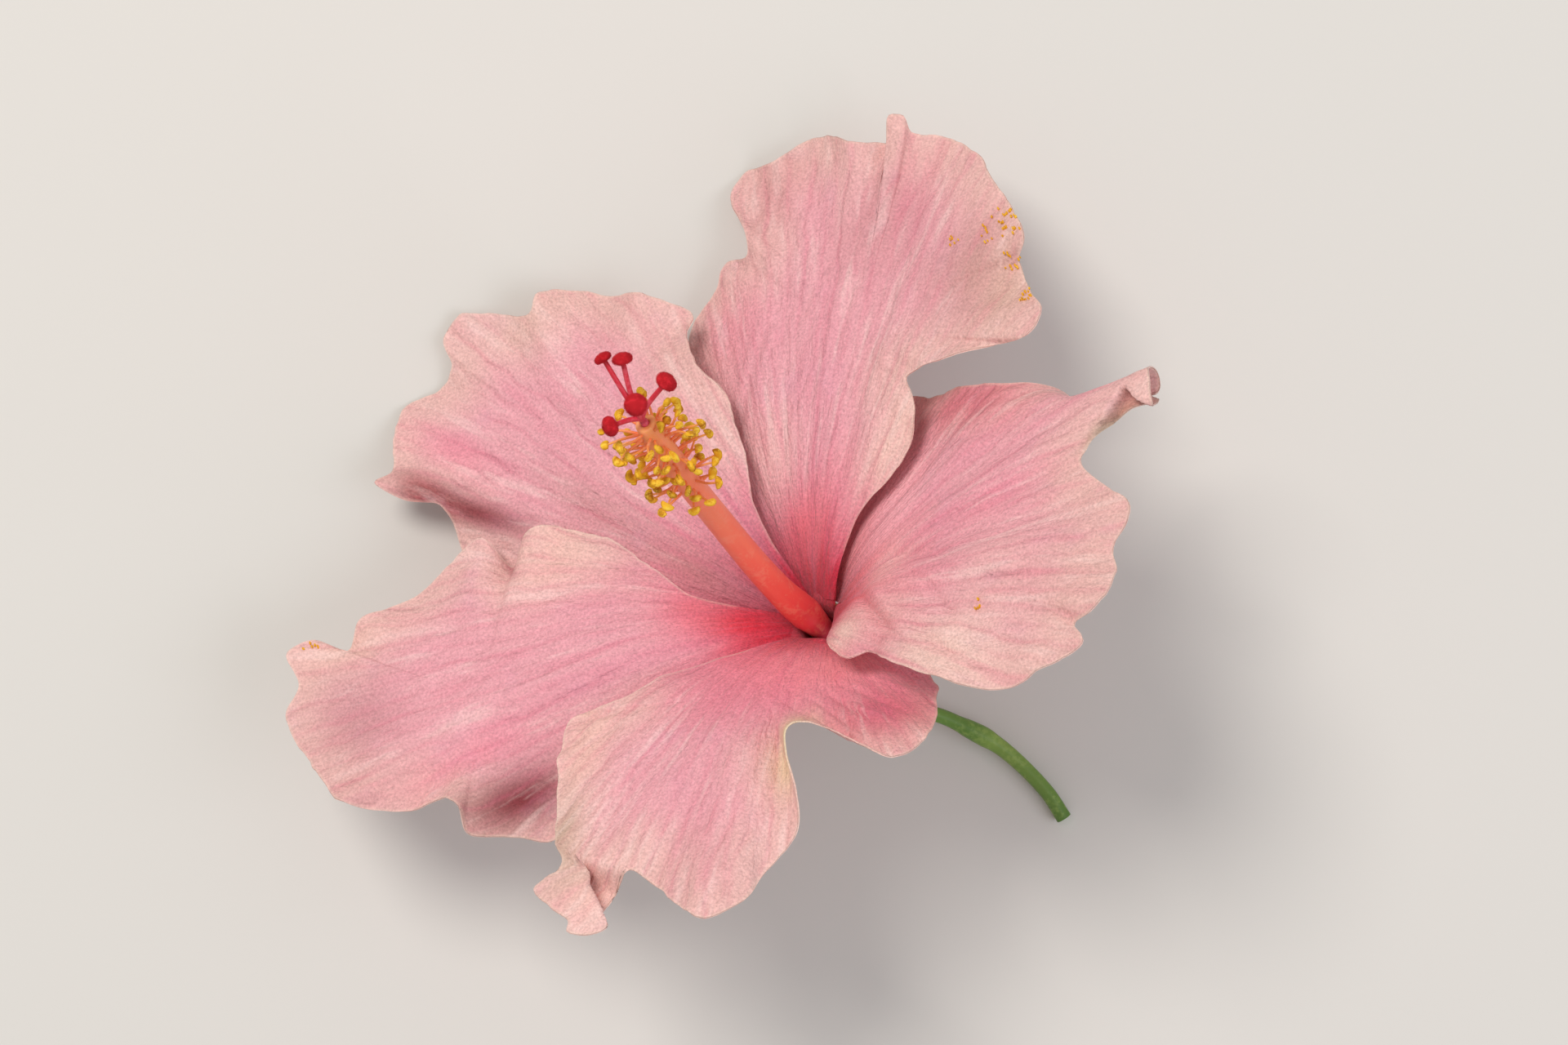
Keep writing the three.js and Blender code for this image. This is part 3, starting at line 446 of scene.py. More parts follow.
# What a petal may hold besides its margin of (x, y, lift):
# folds: short wrinkles (from x, y, to x, y, half width, height)
# hollows: steep-walled dips to the left of all their edges, with a blade that leans over them and painted
# shade inside
# rims: parts of the margin that dip (x, y, half length, width, depth)
# roll: the line beyond which the blade is rolled back
# dust: shed pollen (x, y, across, along, number of places)
# colour patches, own tint and painted light and shade: (x, y, across, along, turn in degrees, colour,
# strength)
PETALS = {
    "petal_top": dict(
        azimuth=-56, cone=74, hub=(-5, 38),
        margin=[
            (-5, 1, -0.3), (-10.5, 4, -0.6), (-16.5, 9.5, -1), (-22, 16, -1.5), (-28.5, 22, -2.5),
            (-33, 29.5, -3.5), (-35.5, 37, -3.5), (-33, 43, -2.5), (-33, 47, -3), (-28, 48, 0),
            (-29.5, 51.5, 1), (-35, 57, 0), (-35, 61, -1.6), (-29, 63, 0.5), (-27, 67, -2.5),
            (-21, 68, 0.5), (-15, 67, 3), (-11, 68, 0), (-9.8, 68.2, 1.5), (-10, 71.4, 3),
            (-7.8, 71.8, 2.5), (-6.9, 69.9, 0), (-3.5, 70.4, -2), (0, 70, -3), (5, 68, -2), (10, 64, 0),
            (16, 59, 2), (20, 55, 2.5), (19, 52, 0), (22, 48, -1), (26, 45, 2), (26, 41, 3),
            (20, 39, 0.5), (15, 36, 2), (10, 34, 1), (7.3, 32.4, 0.4), (9.2, 29.8, 0), (10.3, 27, -0.5),
            (10.3, 23.4, -1.5), (9, 19.9, -2.4), (6, 15.4, -2.6), (3.8, 11.4, -2), (2.8, 6.5, -1),
            (2.5, 3, -0.3),
        ],
        dust=[
            (15, 56.5, 4, 3, 22), (7.5, 53.5, 1.2, 0.8, 6), (21.3, 47, 1.6, 1.2, 10), (18, 52, 1.6, 2, 8),
            (14.7, 58.5, 1.4, 1, 6),
        ],
        # Painted shade: the greyed pinks at (-8, 56), (13, 49) and (-28, 57). Painted light: the bright
        # pinks at (-4, 8.5) and (-12.5, 18) lift the shade near the throat.
        tints_and_painted_light=[
            (-8, 56, 7, 9, 0, "#CB8B8E", 0.6), (13, 49, 8, 8, 0, "#C2938A", 0.7),
            (19, 46, 4, 7, 0, "#DDBBA9", 0.5), (-28, 57, 5, 8, 0, "#D08E90", 0.6),
            (-27, 37, 5, 7, 0, "#E88F9E", 0.55), (7.5, 22, 3, 8, -22, "#F5D3C6", 0.7),
            (-4, 8.5, 4, 6.5, 0, "#FF7A88", 0.75), (-12.5, 18, 5, 7, 0, "#F8CBC6", 0.6),
            (-14, 60, 2.2, 7, 6, "#EFB9BB", 0.5),
        ],
    ),
    "petal_upper_left": dict(
        azimuth=12, cone=74, hub=(-3, 42),
        margin=[
            (-5, 3, -0.5), (-11, 8, -1.5), (-16, 16, -3), (-20, 27, -3.5), (-24, 37, -4), (-25, 46, -4),
            (-23, 50, -3), (-22, 54, -1.5), (-25, 59, 0), (-26, 63, 3), (-23, 63, 1.5), (-19, 67, 0),
            (-14, 70, -1.5), (-9, 68, -2), (-5, 68, 0), (-3, 71, 2), (1, 72, 0.5), (5, 68, -1),
            (8, 62, 1.5), (11, 63, 2.5), (15, 60, -0.5), (18, 56, -1.5), (21, 49, 1.5), (23, 42, -1),
            (20, 40, 0.5), (17, 34, 2), (16.5, 28, 1.2), (13.4, 22.5, 0.5), (10.7, 18.4, 0),
            (7, 13.6, -0.2), (4.4, 8.3, -0.2), (3.2, 3.8, 0),
        ],
        # Painted shade: the dark reds in the fold of the lower margin at (-19.2, 48.5) and (-22.6, 55.5),
        # and the greyed pink at (-7.5, 29) beside the next petal's margin.
        tints_and_painted_light=[
            (-19.2, 48.5, 2.1, 10.5, 16, "#872633", 0.9), (-22.6, 55.5, 2.6, 4.5, 4, "#9E1F2C", 0.85),
            (-15, 57, 2.6, 9, 8, "#F08BA2", 0.5), (-7.5, 29, 3.6, 14, 6, "#CB9090", 0.6),
            (-6, 14, 3.5, 8, 8, "#BE6E6C", 0.5), (8, 62, 9, 4, -20, "#E8C3B6", 0.5),
            (17, 40, 4, 14, 8, "#E4B4AE", 0.5),
        ],
    ),
    "petal_lower_left": dict(
        azimuth=76, cone=78, hub=(5, 45),
        margin=[
            (-4, 3.5, -0.5), (-7, 10, -1.5), (-10.5, 18, -2.5), (-13, 27, -3.5), (-17, 35, -3.5),
            (-19, 42, -3), (-16, 48, -1), (-15, 52.5, 1), (-11.5, 52.5, 2), (-8, 54.5, 0.5),
            (-6, 59, -1.5), (-4, 64, -1), (-2, 69, 2), (1, 70, 1), (9, 72, -1), (17, 73, -1.5),
            (20, 70, 0.5), (24, 70, 2.5), (25, 66, 1.5), (23, 62, -1), (26, 58, 1), (27, 52, -0.5),
            (29, 44, -1), (30, 38, 1.5), (25, 35, -1.5), (26, 31, 3), (24, 25, 2.5), (20, 20, 2),
            (14, 15.8, 1.2), (7.6, 11.8, 0.5), (4.6, 6.9, 0.3), (3.2, 3.2, 0.2),
        ],
        dust=[(23.5, 66.5, 1, 1, 4)],
        # Painted shade: the dark red at (-12, 44) where this side lies under the next petal, the greyed
        # pink at (10.5, 63) and the thin dark line of the crease at (25.2, 35.4).
        tints_and_painted_light=[
            (-12, 44, 4.2, 9, 0, "#80222F", 0.95), (1.5, 5.5, 3.4, 6.5, -12, "#F4263C", 0.9),
            (5.5, 12, 3.2, 5, -25, "#EE6F7B", 0.6), (-3, 50, 3, 11, 4, "#F0829C", 0.45),
            (10.5, 63, 9, 7, 0, "#C48A8E", 0.62), (20, 29, 6, 9, 20, "#F3C9BC", 0.6),
            (13.5, 19.5, 4, 5, 20, "#E793A2", 0.5), (25.2, 35.4, 4.5, 0.8, 8, "#A9545E", 0.7),
            (-1, 66, 6, 4, 0, "#D8A6A2", 0.5), (22, 62, 3, 8, 10, "#E9C0B2", 0.5),
        ],
    ),
    "petal_bottom": dict(
        azimuth=140, cone=74, hub=(1, 15),
        margin=[
            (-3, 1, -0.5), (-8, 0, -1.5), (-13, 1, -2.5), (-19, 6, -3.5), (-23, 15, -3), (-24, 24, -1),
            (-21, 28, 0), (-16, 26, 1), (-12, 24, 2), (-9, 23, 2.5), (-6, 25, 4), (-6.5, 29, 3),
            (-8.5, 34, 1.5), (-9, 39, -0.5), (-5, 45, -1.5), (-4, 51, 0.5), (0, 55, 1.5), (5, 52, 0),
            (9.5, 48.3, -0.5), (13, 46.6, -0.2), (14.2, 48, 0), (15.4, 50.6, 0), (16.8, 53.4, 0),
            (18.8, 56.3, 0), (20.6, 56.3, 0.5), (21, 54.6, 0.8), (22.8, 52.9, 1), (26.2, 50.1, 1),
            (25.3, 48.3, 0.6), (24.5, 46.9, 0.5), (24.4, 44.5, 0.8), (26, 38, 0.5), (28, 28, 1),
            (28, 22, 2), (24, 20, 2.5), (20, 17, 2), (16, 12, 1.5), (11.5, 8.8, 1), (7, 5.6, 0.8),
            (4, 3, 0.5),
        ],
        folds=[
            (-3, 11, -21, 24.5, 0.6, -0.4), (-5, 16, -18, 26.5, 0.5, 0.35),
            (-7, 11, -23, 19.5, 0.6, -0.4), (-3, 18, -14, 26.5, 0.5, -0.35), (-8, 8, -24, 14, 0.6, 0.35),
            (-9, 15.5, -23, 22.5, 0.45, 0.3), (-7, 5.5, -21, 8.5, 0.6, -0.35),
            (-3, 14, -16, 24, 0.45, -0.3),
        ],
        # The hollow's colour is painted shade on its walls and floor.
        hollows=[dict(
            edges=[((13.4, 47.6), (20, 45.4)), ((20.1, 46.3), (16.2, 54.8)), ((9.2, 56), (9.2, 44))],
            depth=3.4, wall=1.4, shift=(1.8, -0.5), overhang=(-4, 1.5), colour="#BE827C", strength=0.55,
        )],
        # Painted light: the bright pink at (-5, 7) lifts the shade near the throat. The deeper pink of the
        # ear at (-16, 18) is its own colour and partly painted shade.
        tints_and_painted_light=[
            (-16, 18, 8, 7, 20, "#D55E74", 0.85), (-5, 7, 9, 6.5, 0, "#FFA0A9", 0.85),
            (2, 12, 6, 5, 0, "#FB8D9B", 0.6), (6, 17, 7, 7, 0, "#E58498", 0.6),
            (17, 49.5, 4.5, 4, 0, "#FBD0C6", 0.75), (24, 42, 2.6, 7, 0, "#B5A58A", 0.6),
            (21, 46, 3, 4, 0, "#D9AFA0", 0.5), (24, 26, 3, 8, 0, "#F1C6B8", 0.6),
            (-6.2, 26, 2.6, 5.5, 0, "#E4D7A4", 0.85), (3, 46, 6, 6, 0, "#DDA3A6", 0.4),
        ],
    ),
    "petal_right": dict(
        azimuth=236, cone=74, hub=(-4, 20),
        margin=[
            (-4.5, -2.5, 0.5), (-9.5, -5.5, 2.5), (-17, -7.5, 4), (-24, -7, 3), (-31, -5, 0.5),
            (-35, 1, -2), (-35, 8, -3), (-31, 16, -1.5), (-28, 25, 0.5), (-26, 31, 1.5), (-26, 36, 0),
            (-28.5, 41, 0), (-30, 45, 0), (-28.5, 49.3, 0), (-25, 52.8, 0), (-20.8, 54.1, 0.8),
            (-17.7, 53.5, 0), (-16.2, 52.2, 0), (-15.2, 50.4, 0), (-14, 48.3, 0), (-12.4, 46.6, 0),
            (-10.4, 45.2, 0), (-7.8, 44.4, 0), (-1, 50, 1.5), (2, 53, 1), (5, 53, 0), (8, 50, -1),
            (13, 51, 0), (19, 49, 1.5), (19, 45, 0), (23, 47, 1), (26, 39, -0.5), (26, 32, 0),
            (22, 24, 1), (17, 16, 2), (12.7, 10.9, 1), (13, 8, 2.5), (8, 3, 2.5), (4, 2, 1),
        ],
        folds=[
            (-1.5, 5.5, 13, 16, 0.9, -0.75), (1, 7.5, 16, 19.5, 0.8, -0.7), (-0.5, 9, 10, 17, 0.7, 0.4),
            (4, 19.5, 15, 28.5, 0.8, -0.5), (10, 18, 22, 29.5, 0.9, -0.65), (-6, 8.5, 3, 27, 1.1, -0.6),
            (-1, 14, 9, 26, 0.7, -0.35),
        ],
        # The hollow's colour is painted shade on its walls and floor.
        hollows=[dict(
            edges=[((-19.2, 50.3), (-9.4, 45)), ((-17.4, 54), (-19.2, 50.3)), ((-9.2, 40), (-9.2, 56))],
            depth=2.7, wall=1, shift=(-1.5, -0.3), overhang=(4, 0.6), colour="#B87B6A", strength=0.6,
        )],
        rims=[(-16.7, 53, 1.7, 3.2, 1.6)],
        roll=dict(through=(-18.6, 42), direction=96, radius=2.7, flare=0.3),
        dust=[(11.8, 30.2, 0.9, 0.7, 6)],
        # Painted shade: the olive patch at (-12, 47) in the hollow under the rolled corner. Painted light:
        # the bright pinks at (-10, 3.5), (-15, 12) and (-2, 12) lift the shade near the throat.
        tints_and_painted_light=[
            (-12, 47, 3.2, 1.4, -40, "#8F8256", 0.75), (-25, 24, 4, 9, -10, "#D97C8B", 0.6),
            (10, 45, 8, 8, 0, "#DDB0A8", 0.5), (9, 33, 8, 7, 0, "#E9BDB6", 0.5),
            (18, 27, 6, 9, -20, "#F3D5C9", 0.65), (8, 6.5, 4, 4.5, 0, "#F7DACE", 0.85),
            (8, 15, 5, 5, 0, "#F0BDB9", 0.6), (-6, 30, 3, 12, 10, "#EC8CA0", 0.35),
            (-10, 3.5, 8, 6, -20, "#FFAAB2", 0.9), (-15, 12, 7, 7, -20, "#FFBDC6", 0.8),
            (-2, 12, 5, 5, 0, "#FBC6C2", 0.65), (-24, 27, 5, 8, -10, "#D9707F", 0.6),
        ],
    ),
}


def noise(x, y, seed):
    """Smooth noise from -1 to 1, one lump to a unit."""
    x, y = np.broadcast_arrays(np.asarray(x, float), np.asarray(y, float))
    left, low = np.floor(x), np.floor(y)
    across, up = smooth(0, 1, x - left), smooth(0, 1, y - low)

    def corner(i, j):
        """The noise at one corner of the cell."""
        value = np.sin((left + i) * 127.1 + (low + j) * 311.7 + seed * 74.7) * 43758.5453
        return 2 * (value - np.floor(value)) - 1

    near = corner(0, 0) * (1 - across) + corner(1, 0) * across
    far = corner(0, 1) * (1 - across) + corner(1, 1) * across
    return near * (1 - up) + far * up


def spaced(curve, count):
    """A drawn curve sampled again at even steps of its length."""
    length = np.r_[0, np.cumsum(np.linalg.norm(np.diff(curve, axis=0), axis=1))]
    wanted = np.linspace(0, length[-1], count)
    return np.stack([np.interp(wanted, length, curve[:, k]) for k in range(curve.shape[1])], 1)


def left_of(x, y, edge):
    """Distance in mm to the left of a line from one point to another."""
    (x0, y0), (x1, y1) = edge
    return ((x1 - x0) * (y - y0) - (y1 - y0) * (x - x0)) / math.hypot(x1 - x0, y1 - y0)


def hollow_share(x, y, hollow):
    """How far a point is inside a steep-walled hollow, whose floor lies to the left of all its edges."""
    half = hollow["wall"] / 2
    return np.prod([smooth(-half, half, left_of(x, y, edge)) for edge in hollow["edges"]], axis=0)


def overhung(x, y, from_margin, hollow):
    """Draws the blade beside a hollow's second edge over the hollow, most at the margin."""
    # The pull is strongest on the edge, and is gone 9 mm in from the margin.
    beside = -left_of(x, y, hollow["edges"][1])
    share = smooth(-hollow["wall"], hollow["wall"], beside) * np.exp(-((beside / 3.5) ** 2))
    share = share * smooth(9, 0, from_margin) * smooth(-1, 1.5, left_of(x, y, hollow["edges"][0]))
    return x + hollow["overhang"][0] * share, y + hollow["overhang"][1] * share


def rolled(points, roll):
    """Rolls what lies beyond a line back round a cylinder, which widens towards the line's start."""
    angle = math.radians(roll["direction"])
    along = np.array([math.cos(angle), math.sin(angle)])
    out = np.array([-along[1], along[0]])
    place = points[:, :2] - roll["through"]
    beyond = np.maximum(place @ out, 0)
    radius = roll["radius"] + roll["flare"] * np.maximum(0, -(place @ along)) ** 2
    turn = np.minimum(beyond / radius, 2.8)
    shift = radius * np.sin(turn) - beyond
    moved = points.copy()
    moved[:, 0] += np.where(beyond > 0, shift * out[0], 0)
    moved[:, 1] += np.where(beyond > 0, shift * out[1], 0)
    moved[:, 2] -= np.where(beyond > 0, radius * (1 - np.cos(turn)), 0)
    return moved


def folded(x, y, fold):
    """Height of a short wrinkle, which fades at both ends of its line."""
    x0, y0, x1, y1, half_width, height = fold
    length = math.hypot(x1 - x0, y1 - y0)
    dx, dy = (x1 - x0) / length, (y1 - y0) / length
    along = ((x - x0) * dx + (y - y0) * dy) / length
    aside = ((x - x0) * dy - (y - y0) * dx) / half_width
    return height * smooth(0, 0.35, along) * smooth(1, 0.6, along) * np.exp(-aside * aside)


def drawn_margin(spec):
    """The margin at even steps, from one side of the claw round to the other and back across it."""
    corners = np.array([(-CLAW_HALF_WIDTH, 0, 0), *spec["margin"], (CLAW_HALF_WIDTH, 0, 0)], float)
    round_blade = spaced(spline(corners, np.linspace(0, 1, 3000)), SPOKES - CLAW_SPOKES)
    across_claw = np.linspace(CLAW_HALF_WIDTH, -CLAW_HALF_WIDTH, CLAW_SPOKES + 2)[1:-1]
    return np.vstack([round_blade, np.stack([across_claw, 0 * across_claw, 0 * across_claw], 1)])


def frayed(margin, spec, seed):
    """The spokes from the hub to the ragged margin, and how far the frill lifts the end of each."""
    outward = margin[:, :2] - spec["hub"]
    reach = np.linalg.norm(outward, axis=1)
    spoke = outward / reach[:, None]
    step = np.diff(margin, axis=0, append=margin[:1])
    round_it = np.r_[0, np.cumsum(np.abs(spoke[:, 0] * step[:, 1] - spoke[:, 1] * step[:, 0]))[:-1]]

    def waves(kinds):
        """Waves of several lengths round the margin, added up."""
        return sum(height * noise(round_it / length, 0.5, seed + skip) for length, height, skip in kinds)

    # The claw's sides are smooth, and so is the margin beside a steep hollow.
    clear = smooth(5, 14, np.hypot(margin[:, 0], margin[:, 1]))
    outward = outward * (1 + clear * (waves(RAGGED) - 0.15) / reach)[:, None]
    for hollow in spec.get("hollows", []):
        corner = np.array(hollow["edges"][1]).mean(0)
        clear = clear * (1 - np.exp(-((margin[:, :2] - corner) ** 2).sum(1) / 49))
    return outward, clear * waves(FRILL)


def overlap(x):
    """How far a blade's clockwise side is raised over its neighbour."""
    return OVERLAP_LIFT * np.tanh(x / OVERLAP_WIDTH) + OVERLAP_SLOPE * x


def blade_points(spec, seed):
    """The middle surface of a blade: its hub, then rings of points out to the margin.

    Gives the flat places, the distance from the margin, and the points in the blade's own frame.
    """
    margin = drawn_margin(spec)
    hub = np.array(spec["hub"], float)
    outward, frill = frayed(margin, spec, seed)
    share = (1 - (1 - np.linspace(0, 1, RINGS + 1)[1:]) ** 1.2)[:, None]
    x = (hub[0] + outward[:, 0] * share).ravel()
    y = (hub[1] + outward[:, 1] * share).ravel()
    rim = hub + outward
    from_margin = np.concatenate([
        np.sqrt(((part[:, None] - rim) ** 2).sum(-1).min(1))
        for part in np.array_split(np.stack([x, y], 1), 20)
    ])

    window = np.hanning(LONG_WAVE_SPOKES) / np.hanning(LONG_WAVE_SPOKES).sum()
    reach = LONG_WAVE_SPOKES // 2
    long_wave = np.convolve(np.r_[margin[-reach:, 2], margin[:, 2], margin[:reach, 2]], window, "valid")
    lift = long_wave * share**LONG_WAVE_DECAY + (margin[:, 2] - long_wave) * share**SHORT_WAVE_DECAY
    lift = lift.ravel() + np.tile(frill, RINGS) * np.exp(-((from_margin / FRILL_REACH) ** 2))
    x, y, lift = np.r_[hub[0], x], np.r_[hub[1], y], np.r_[0, lift]
    from_margin = np.r_[np.linalg.norm(margin[:, :2] - hub, axis=1).min(), from_margin]

    along_blade = np.clip(y / PETAL_LENGTH, 0, 1)
    z = lift + PETAL_ARCH * ARCH_GAIN * along_blade * (1 - along_blade) ** 2 + overlap(x)
    for fold in spec.get("folds", []):
        z += folded(x, y, fold)
    for hollow in spec.get("hollows", []):
        z -= hollow["depth"] * hollow_share(x, y, hollow)
    for rim_x, rim_y, half_length, width, depth in spec.get("rims", []):
        near_rim = np.exp(-((x - rim_x) ** 2 + (y - rim_y) ** 2) / half_length**2)
        z -= depth * near_rim * smooth(width, 0, from_margin)
    across, along = fan_of(x, y)
    pleats = [
        height * noise(across * count, along / length, seed + skip)
        for count, length, height, skip in PLEATS
    ]
    z += smooth(10, 34, along) * sum(pleats)
    for width, length, height, start, full, skip in WRINKLES:
        wrinkle = noise(across * along / width, along / length, seed + skip)
        z += smooth(start, full, along) * height * wrinkle
    points = np.stack([x, y, z], 1)
    for hollow in spec.get("hollows", []):
        points[:, :2] = np.stack(overhung(x, y, from_margin, hollow), 1)
        points[:, :2] += hollow_share(x, y, hollow)[:, None] * hollow["shift"]
    if "roll" in spec:
        points = rolled(points, spec["roll"])
    return x, y, from_margin, points


def fan_of(x, y):
    """Angle across the veins, which part from a point under the claw, and distance along them."""
    return np.arctan2(x, y + VEIN_ROOT), np.hypot(x, y + VEIN_ROOT)


def vein_lines(across, along, seed):
    """Strength of the branching veins at each point."""
    wander = 0.22 * noise(along / 9, across * 3, seed) + 0.07 * noise(along / 3, across * 7, seed + 1)
    total = np.zeros_like(across)
    for pitch, start, strength in VEINS:
        place = across / pitch + wander * (VEINS[1][0] / pitch)
        gap = np.abs(place - np.round(place)) * pitch * np.maximum(along, 3)
        line = np.exp(-((gap / VEIN_WIDTH) ** 2)) * smooth(start, start + 12, along)
        total = np.maximum(total, strength * line)
    return total * (0.55 + 0.45 * noise(along / 6, across * 9, seed + 2))


def blade_tone(spec, x, y, from_margin, seed):
    """The ground colour of a blade: red throat, pink middle, cream margin, then its patches of own tint,
    painted shade and painted light.
    """
    across, along = fan_of(x, y)
    # Each colour reaches further along some rays than along others, like ink drawn up by the veins.
    ray = noise(across * 9, along / 30, seed + 20)
    reach = along + 3.0 * ray + 1.8 * noise(across * 24, along / 14, seed + 21)
    layers = [(code, smooth(start, full, reach)) for code, start, full in BLADE_PINKS]
    layers.append((MARGIN_CREAM, 0.75 * smooth(12, 1, from_margin) * smooth(20, 34, along)))
    layers.append((RAY_PINK, 0.26 * smooth(0.1, 0.7, ray) * smooth(60, 30, along)))
    # Painted shade: the walls and floor of a hollow are painted a darker colour.
    for hollow in spec.get("hollows", []):
        inside = smooth(0.02, 0.3, hollow_share(x, y, hollow))
        layers.append((hollow["colour"], hollow["strength"] * inside))
    # These patches hold the petal's own colours, painted shade in folds, hollows and where a side lies
    # under the next petal, and painted light that lifts the shade near the throat.
    for tint_x, tint_y, wide, long, turn, code, strength in spec["tints_and_painted_light"]:
        angle = math.radians(turn)
        s = (x - tint_x) * math.cos(angle) + (y - tint_y) * math.sin(angle)
        t = -(x - tint_x) * math.sin(angle) + (y - tint_y) * math.cos(angle)
        layers.append((code, strength * np.exp(-((s / wide) ** 2) - (t / long) ** 2)))
    tone = np.repeat(np.array(linear(THROAT_RED))[None], len(x), 0)
    for code, share in layers:
        share = np.clip(share, 0, 1)[:, None]
        tone = tone * (1 - share) + np.array(linear(code)) * share
    return tone


def claw_foot(cone):
    """The claw's foot as a closed ribbon in the blade's own frame, from under the blade's end down."""
    foot = [(along, PETAL_ARCH * share - depth, 0) for along, share, depth in CLAW_FOOT_START]
    for radius, height in CLAW_FOOT:
        outward, upward = radius - CLAW_RADIUS, height - CLAW_DEPTH
        low = outward * math.sin(cone) + upward * math.cos(cone)
        foot.append((low, upward * math.sin(cone) - outward * math.cos(cone), 0))
    line = spline(foot, np.linspace(0, 1, CLAW_FOOT_ROWS))
    half_widths = np.interp(np.linspace(0, 6, CLAW_FOOT_ROWS), *np.transpose(CLAW_FOOT_HALF_WIDTHS))
    x = half_widths[:, None] * np.linspace(-1, 1, CLAW_FOOT_ACROSS)[None, :]
    tilt = np.clip(1 - np.linspace(0, 2, CLAW_FOOT_ROWS), 0, 1)[:, None] * overlap(x)
    rows = np.stack([x, line[:, :1] + 0 * x, line[:, 1:2] + tilt], -1)
    return ribbon(rows, CLAW_FOOT_HALF_THICKNESS)


# Living petal tissue as it grew: matt and velvety, so light spreads on it without a shine. Fine streaks and
# creases follow the veins, and some light comes through from behind. The glitter of single cells is painted
# into the colour as a fine grain of lighter and darker specks. "tone" is the ground colour, "fan" runs
# across and along the veins in mm, and "edge" is the distance to the margin in mm.
STREAKS_PER_MM = (1.1, 0.07, 1)
CREASES_PER_MM = (1.9, 0.42, 1)
CELLS_PER_MM = 2.6
MOTTLES_PER_MM = 0.13
VEIN_STRENGTH = 0.34

petal_tissue = bpy.data.materials.new("petal tissue, soft and veined")
petal_tissue.use_nodes = True
tree = petal_tissue.node_tree
tone = node(tree, "ShaderNodeAttribute", attribute_name="tone").outputs["Color"]
fan = node(tree, "ShaderNodeAttribute", attribute_name="fan").outputs["Vector"]
edge = node(tree, "ShaderNodeAttribute", attribute_name="edge").outputs["Fac"]
vein = node(tree, "ShaderNodeAttribute", attribute_name="vein").outputs["Fac"]
body_place = node(tree, "ShaderNodeTexCoord").outputs["Object"]

streak_place = node(tree, "ShaderNodeVectorMath", {0: fan, 1: STREAKS_PER_MM}, operation="MULTIPLY")
crease_place = node(tree, "ShaderNodeVectorMath", {0: fan, 1: CREASES_PER_MM}, operation="MULTIPLY")
patterns = []
for place, scale, detail, roughness in (
    (streak_place.outputs[0], 1.0, 4.0, 0.55),
    (crease_place.outputs[0], 1.0, 3.0, 0.6),
    (body_place, CELLS_PER_MM / MM, 2.0, 0.6),
    (body_place, MOTTLES_PER_MM / MM, 3.0, 0.6),
):
    noise_inputs = {"Vector": place, "Scale": scale, "Detail": detail, "Roughness": roughness}
    patterns.append(node(tree, "ShaderNodeTexNoise", noise_inputs).outputs["Fac"])
streak, crease, cells, mottle = patterns

# The deep streaks are everywhere, and the pale ones and the lilac patches start past the throat.
along_vein = node(tree, "ShaderNodeSeparateXYZ", {0: fan}).outputs[1]
shares = []
for value, low, high, most in (
    (along_vein, 14, 34, 1.0), (streak, 0.5, 0.72, 0.26), (streak, 0.48, 0.3, 0.34),
    (mottle, 0.52, 0.75, 0.12), (edge, 0.5, 0.05, 0.35),
):
    range_inputs = {"Value": value, "From Min": low, "From Max": high, "To Max": most}
    mapped = node(tree, "ShaderNodeMapRange", range_inputs, interpolation_type="SMOOTHSTEP")
    shares.append(mapped.outputs[0])
past_throat, deep_share, pale_share, lilac_share, rim_share = shares
pale_share, lilac_share, vein_share = (
    node(tree, "ShaderNodeMath", {0: value, 1: times}, operation="MULTIPLY").outputs[0]
    for value, times in ((pale_share, past_throat), (lilac_share, past_throat), (vein, VEIN_STRENGTH))
)
for share, code in (
    (deep_share, "#E07A92"), (pale_share, "#FADFDA"), (vein_share, "#D35F7E"), (lilac_share, "#D59DBE"),
):
    tone = node(tree, "ShaderNodeMix", {0: share, 6: tone, 7: linear(code)}, data_type="RGBA").outputs[2]
# Painted glitter: the grain of single cells makes the colour lighter or darker speck by speck.
cell_range = {"Value": cells, "From Min": 0.3, "From Max": 0.7, "To Min": 0.88, "To Max": 1.24}
painted_glitter_gain = node(tree, "ShaderNodeMapRange", cell_range, interpolation_type="LINEAR").outputs[0]
painted_glitter_mix = {0: 1.0, 6: tone, 7: painted_glitter_gain}
tone = node(tree, "ShaderNodeMix", painted_glitter_mix, data_type="RGBA", blend_type="MULTIPLY").outputs[2]
rimmed = {0: rim_share, 6: tone, 7: linear("#F6DFCC")}
tone = node(tree, "ShaderNodeMix", rimmed, data_type="RGBA").outputs[2]

relief = None
for value, weight in ((crease, 0.55), (streak, 0.5), (cells, 0.1), (vein, -0.2)):
    height = node(tree, "ShaderNodeMath", {0: value, 1: weight}, operation="MULTIPLY").outputs[0]
    if relief is not None:
        height = node(tree, "ShaderNodeMath", {0: relief, 1: height}, operation="ADD").outputs[0]
    relief = height
bump = node(tree, "ShaderNodeBump", {"Height": relief, "Strength": 0.85, "Distance": 1.1 * MM}).outputs[0]
shader = tree.nodes["Principled BSDF"]
tree.links.new(tone, shader.inputs["Base Color"])
tree.links.new(bump, shader.inputs["Normal"])
shader.inputs["Roughness"].default_value = 0.62
shader.inputs["Specular IOR Level"].default_value = 0.28
shader.inputs["Sheen Weight"].default_value = 0.12
shader.inputs["Sheen Roughness"].default_value = 0.4
glow = node(tree, "ShaderNodeBsdfTranslucent", {"Color": tone, "Normal": bump}).outputs[0]
thin = node(tree, "ShaderNodeMixShader", {0: 0.15, 1: shader.outputs[0], 2: glow}).outputs[0]
tree.links.new(thin, tree.nodes["Material Output"].inputs["Surface"])


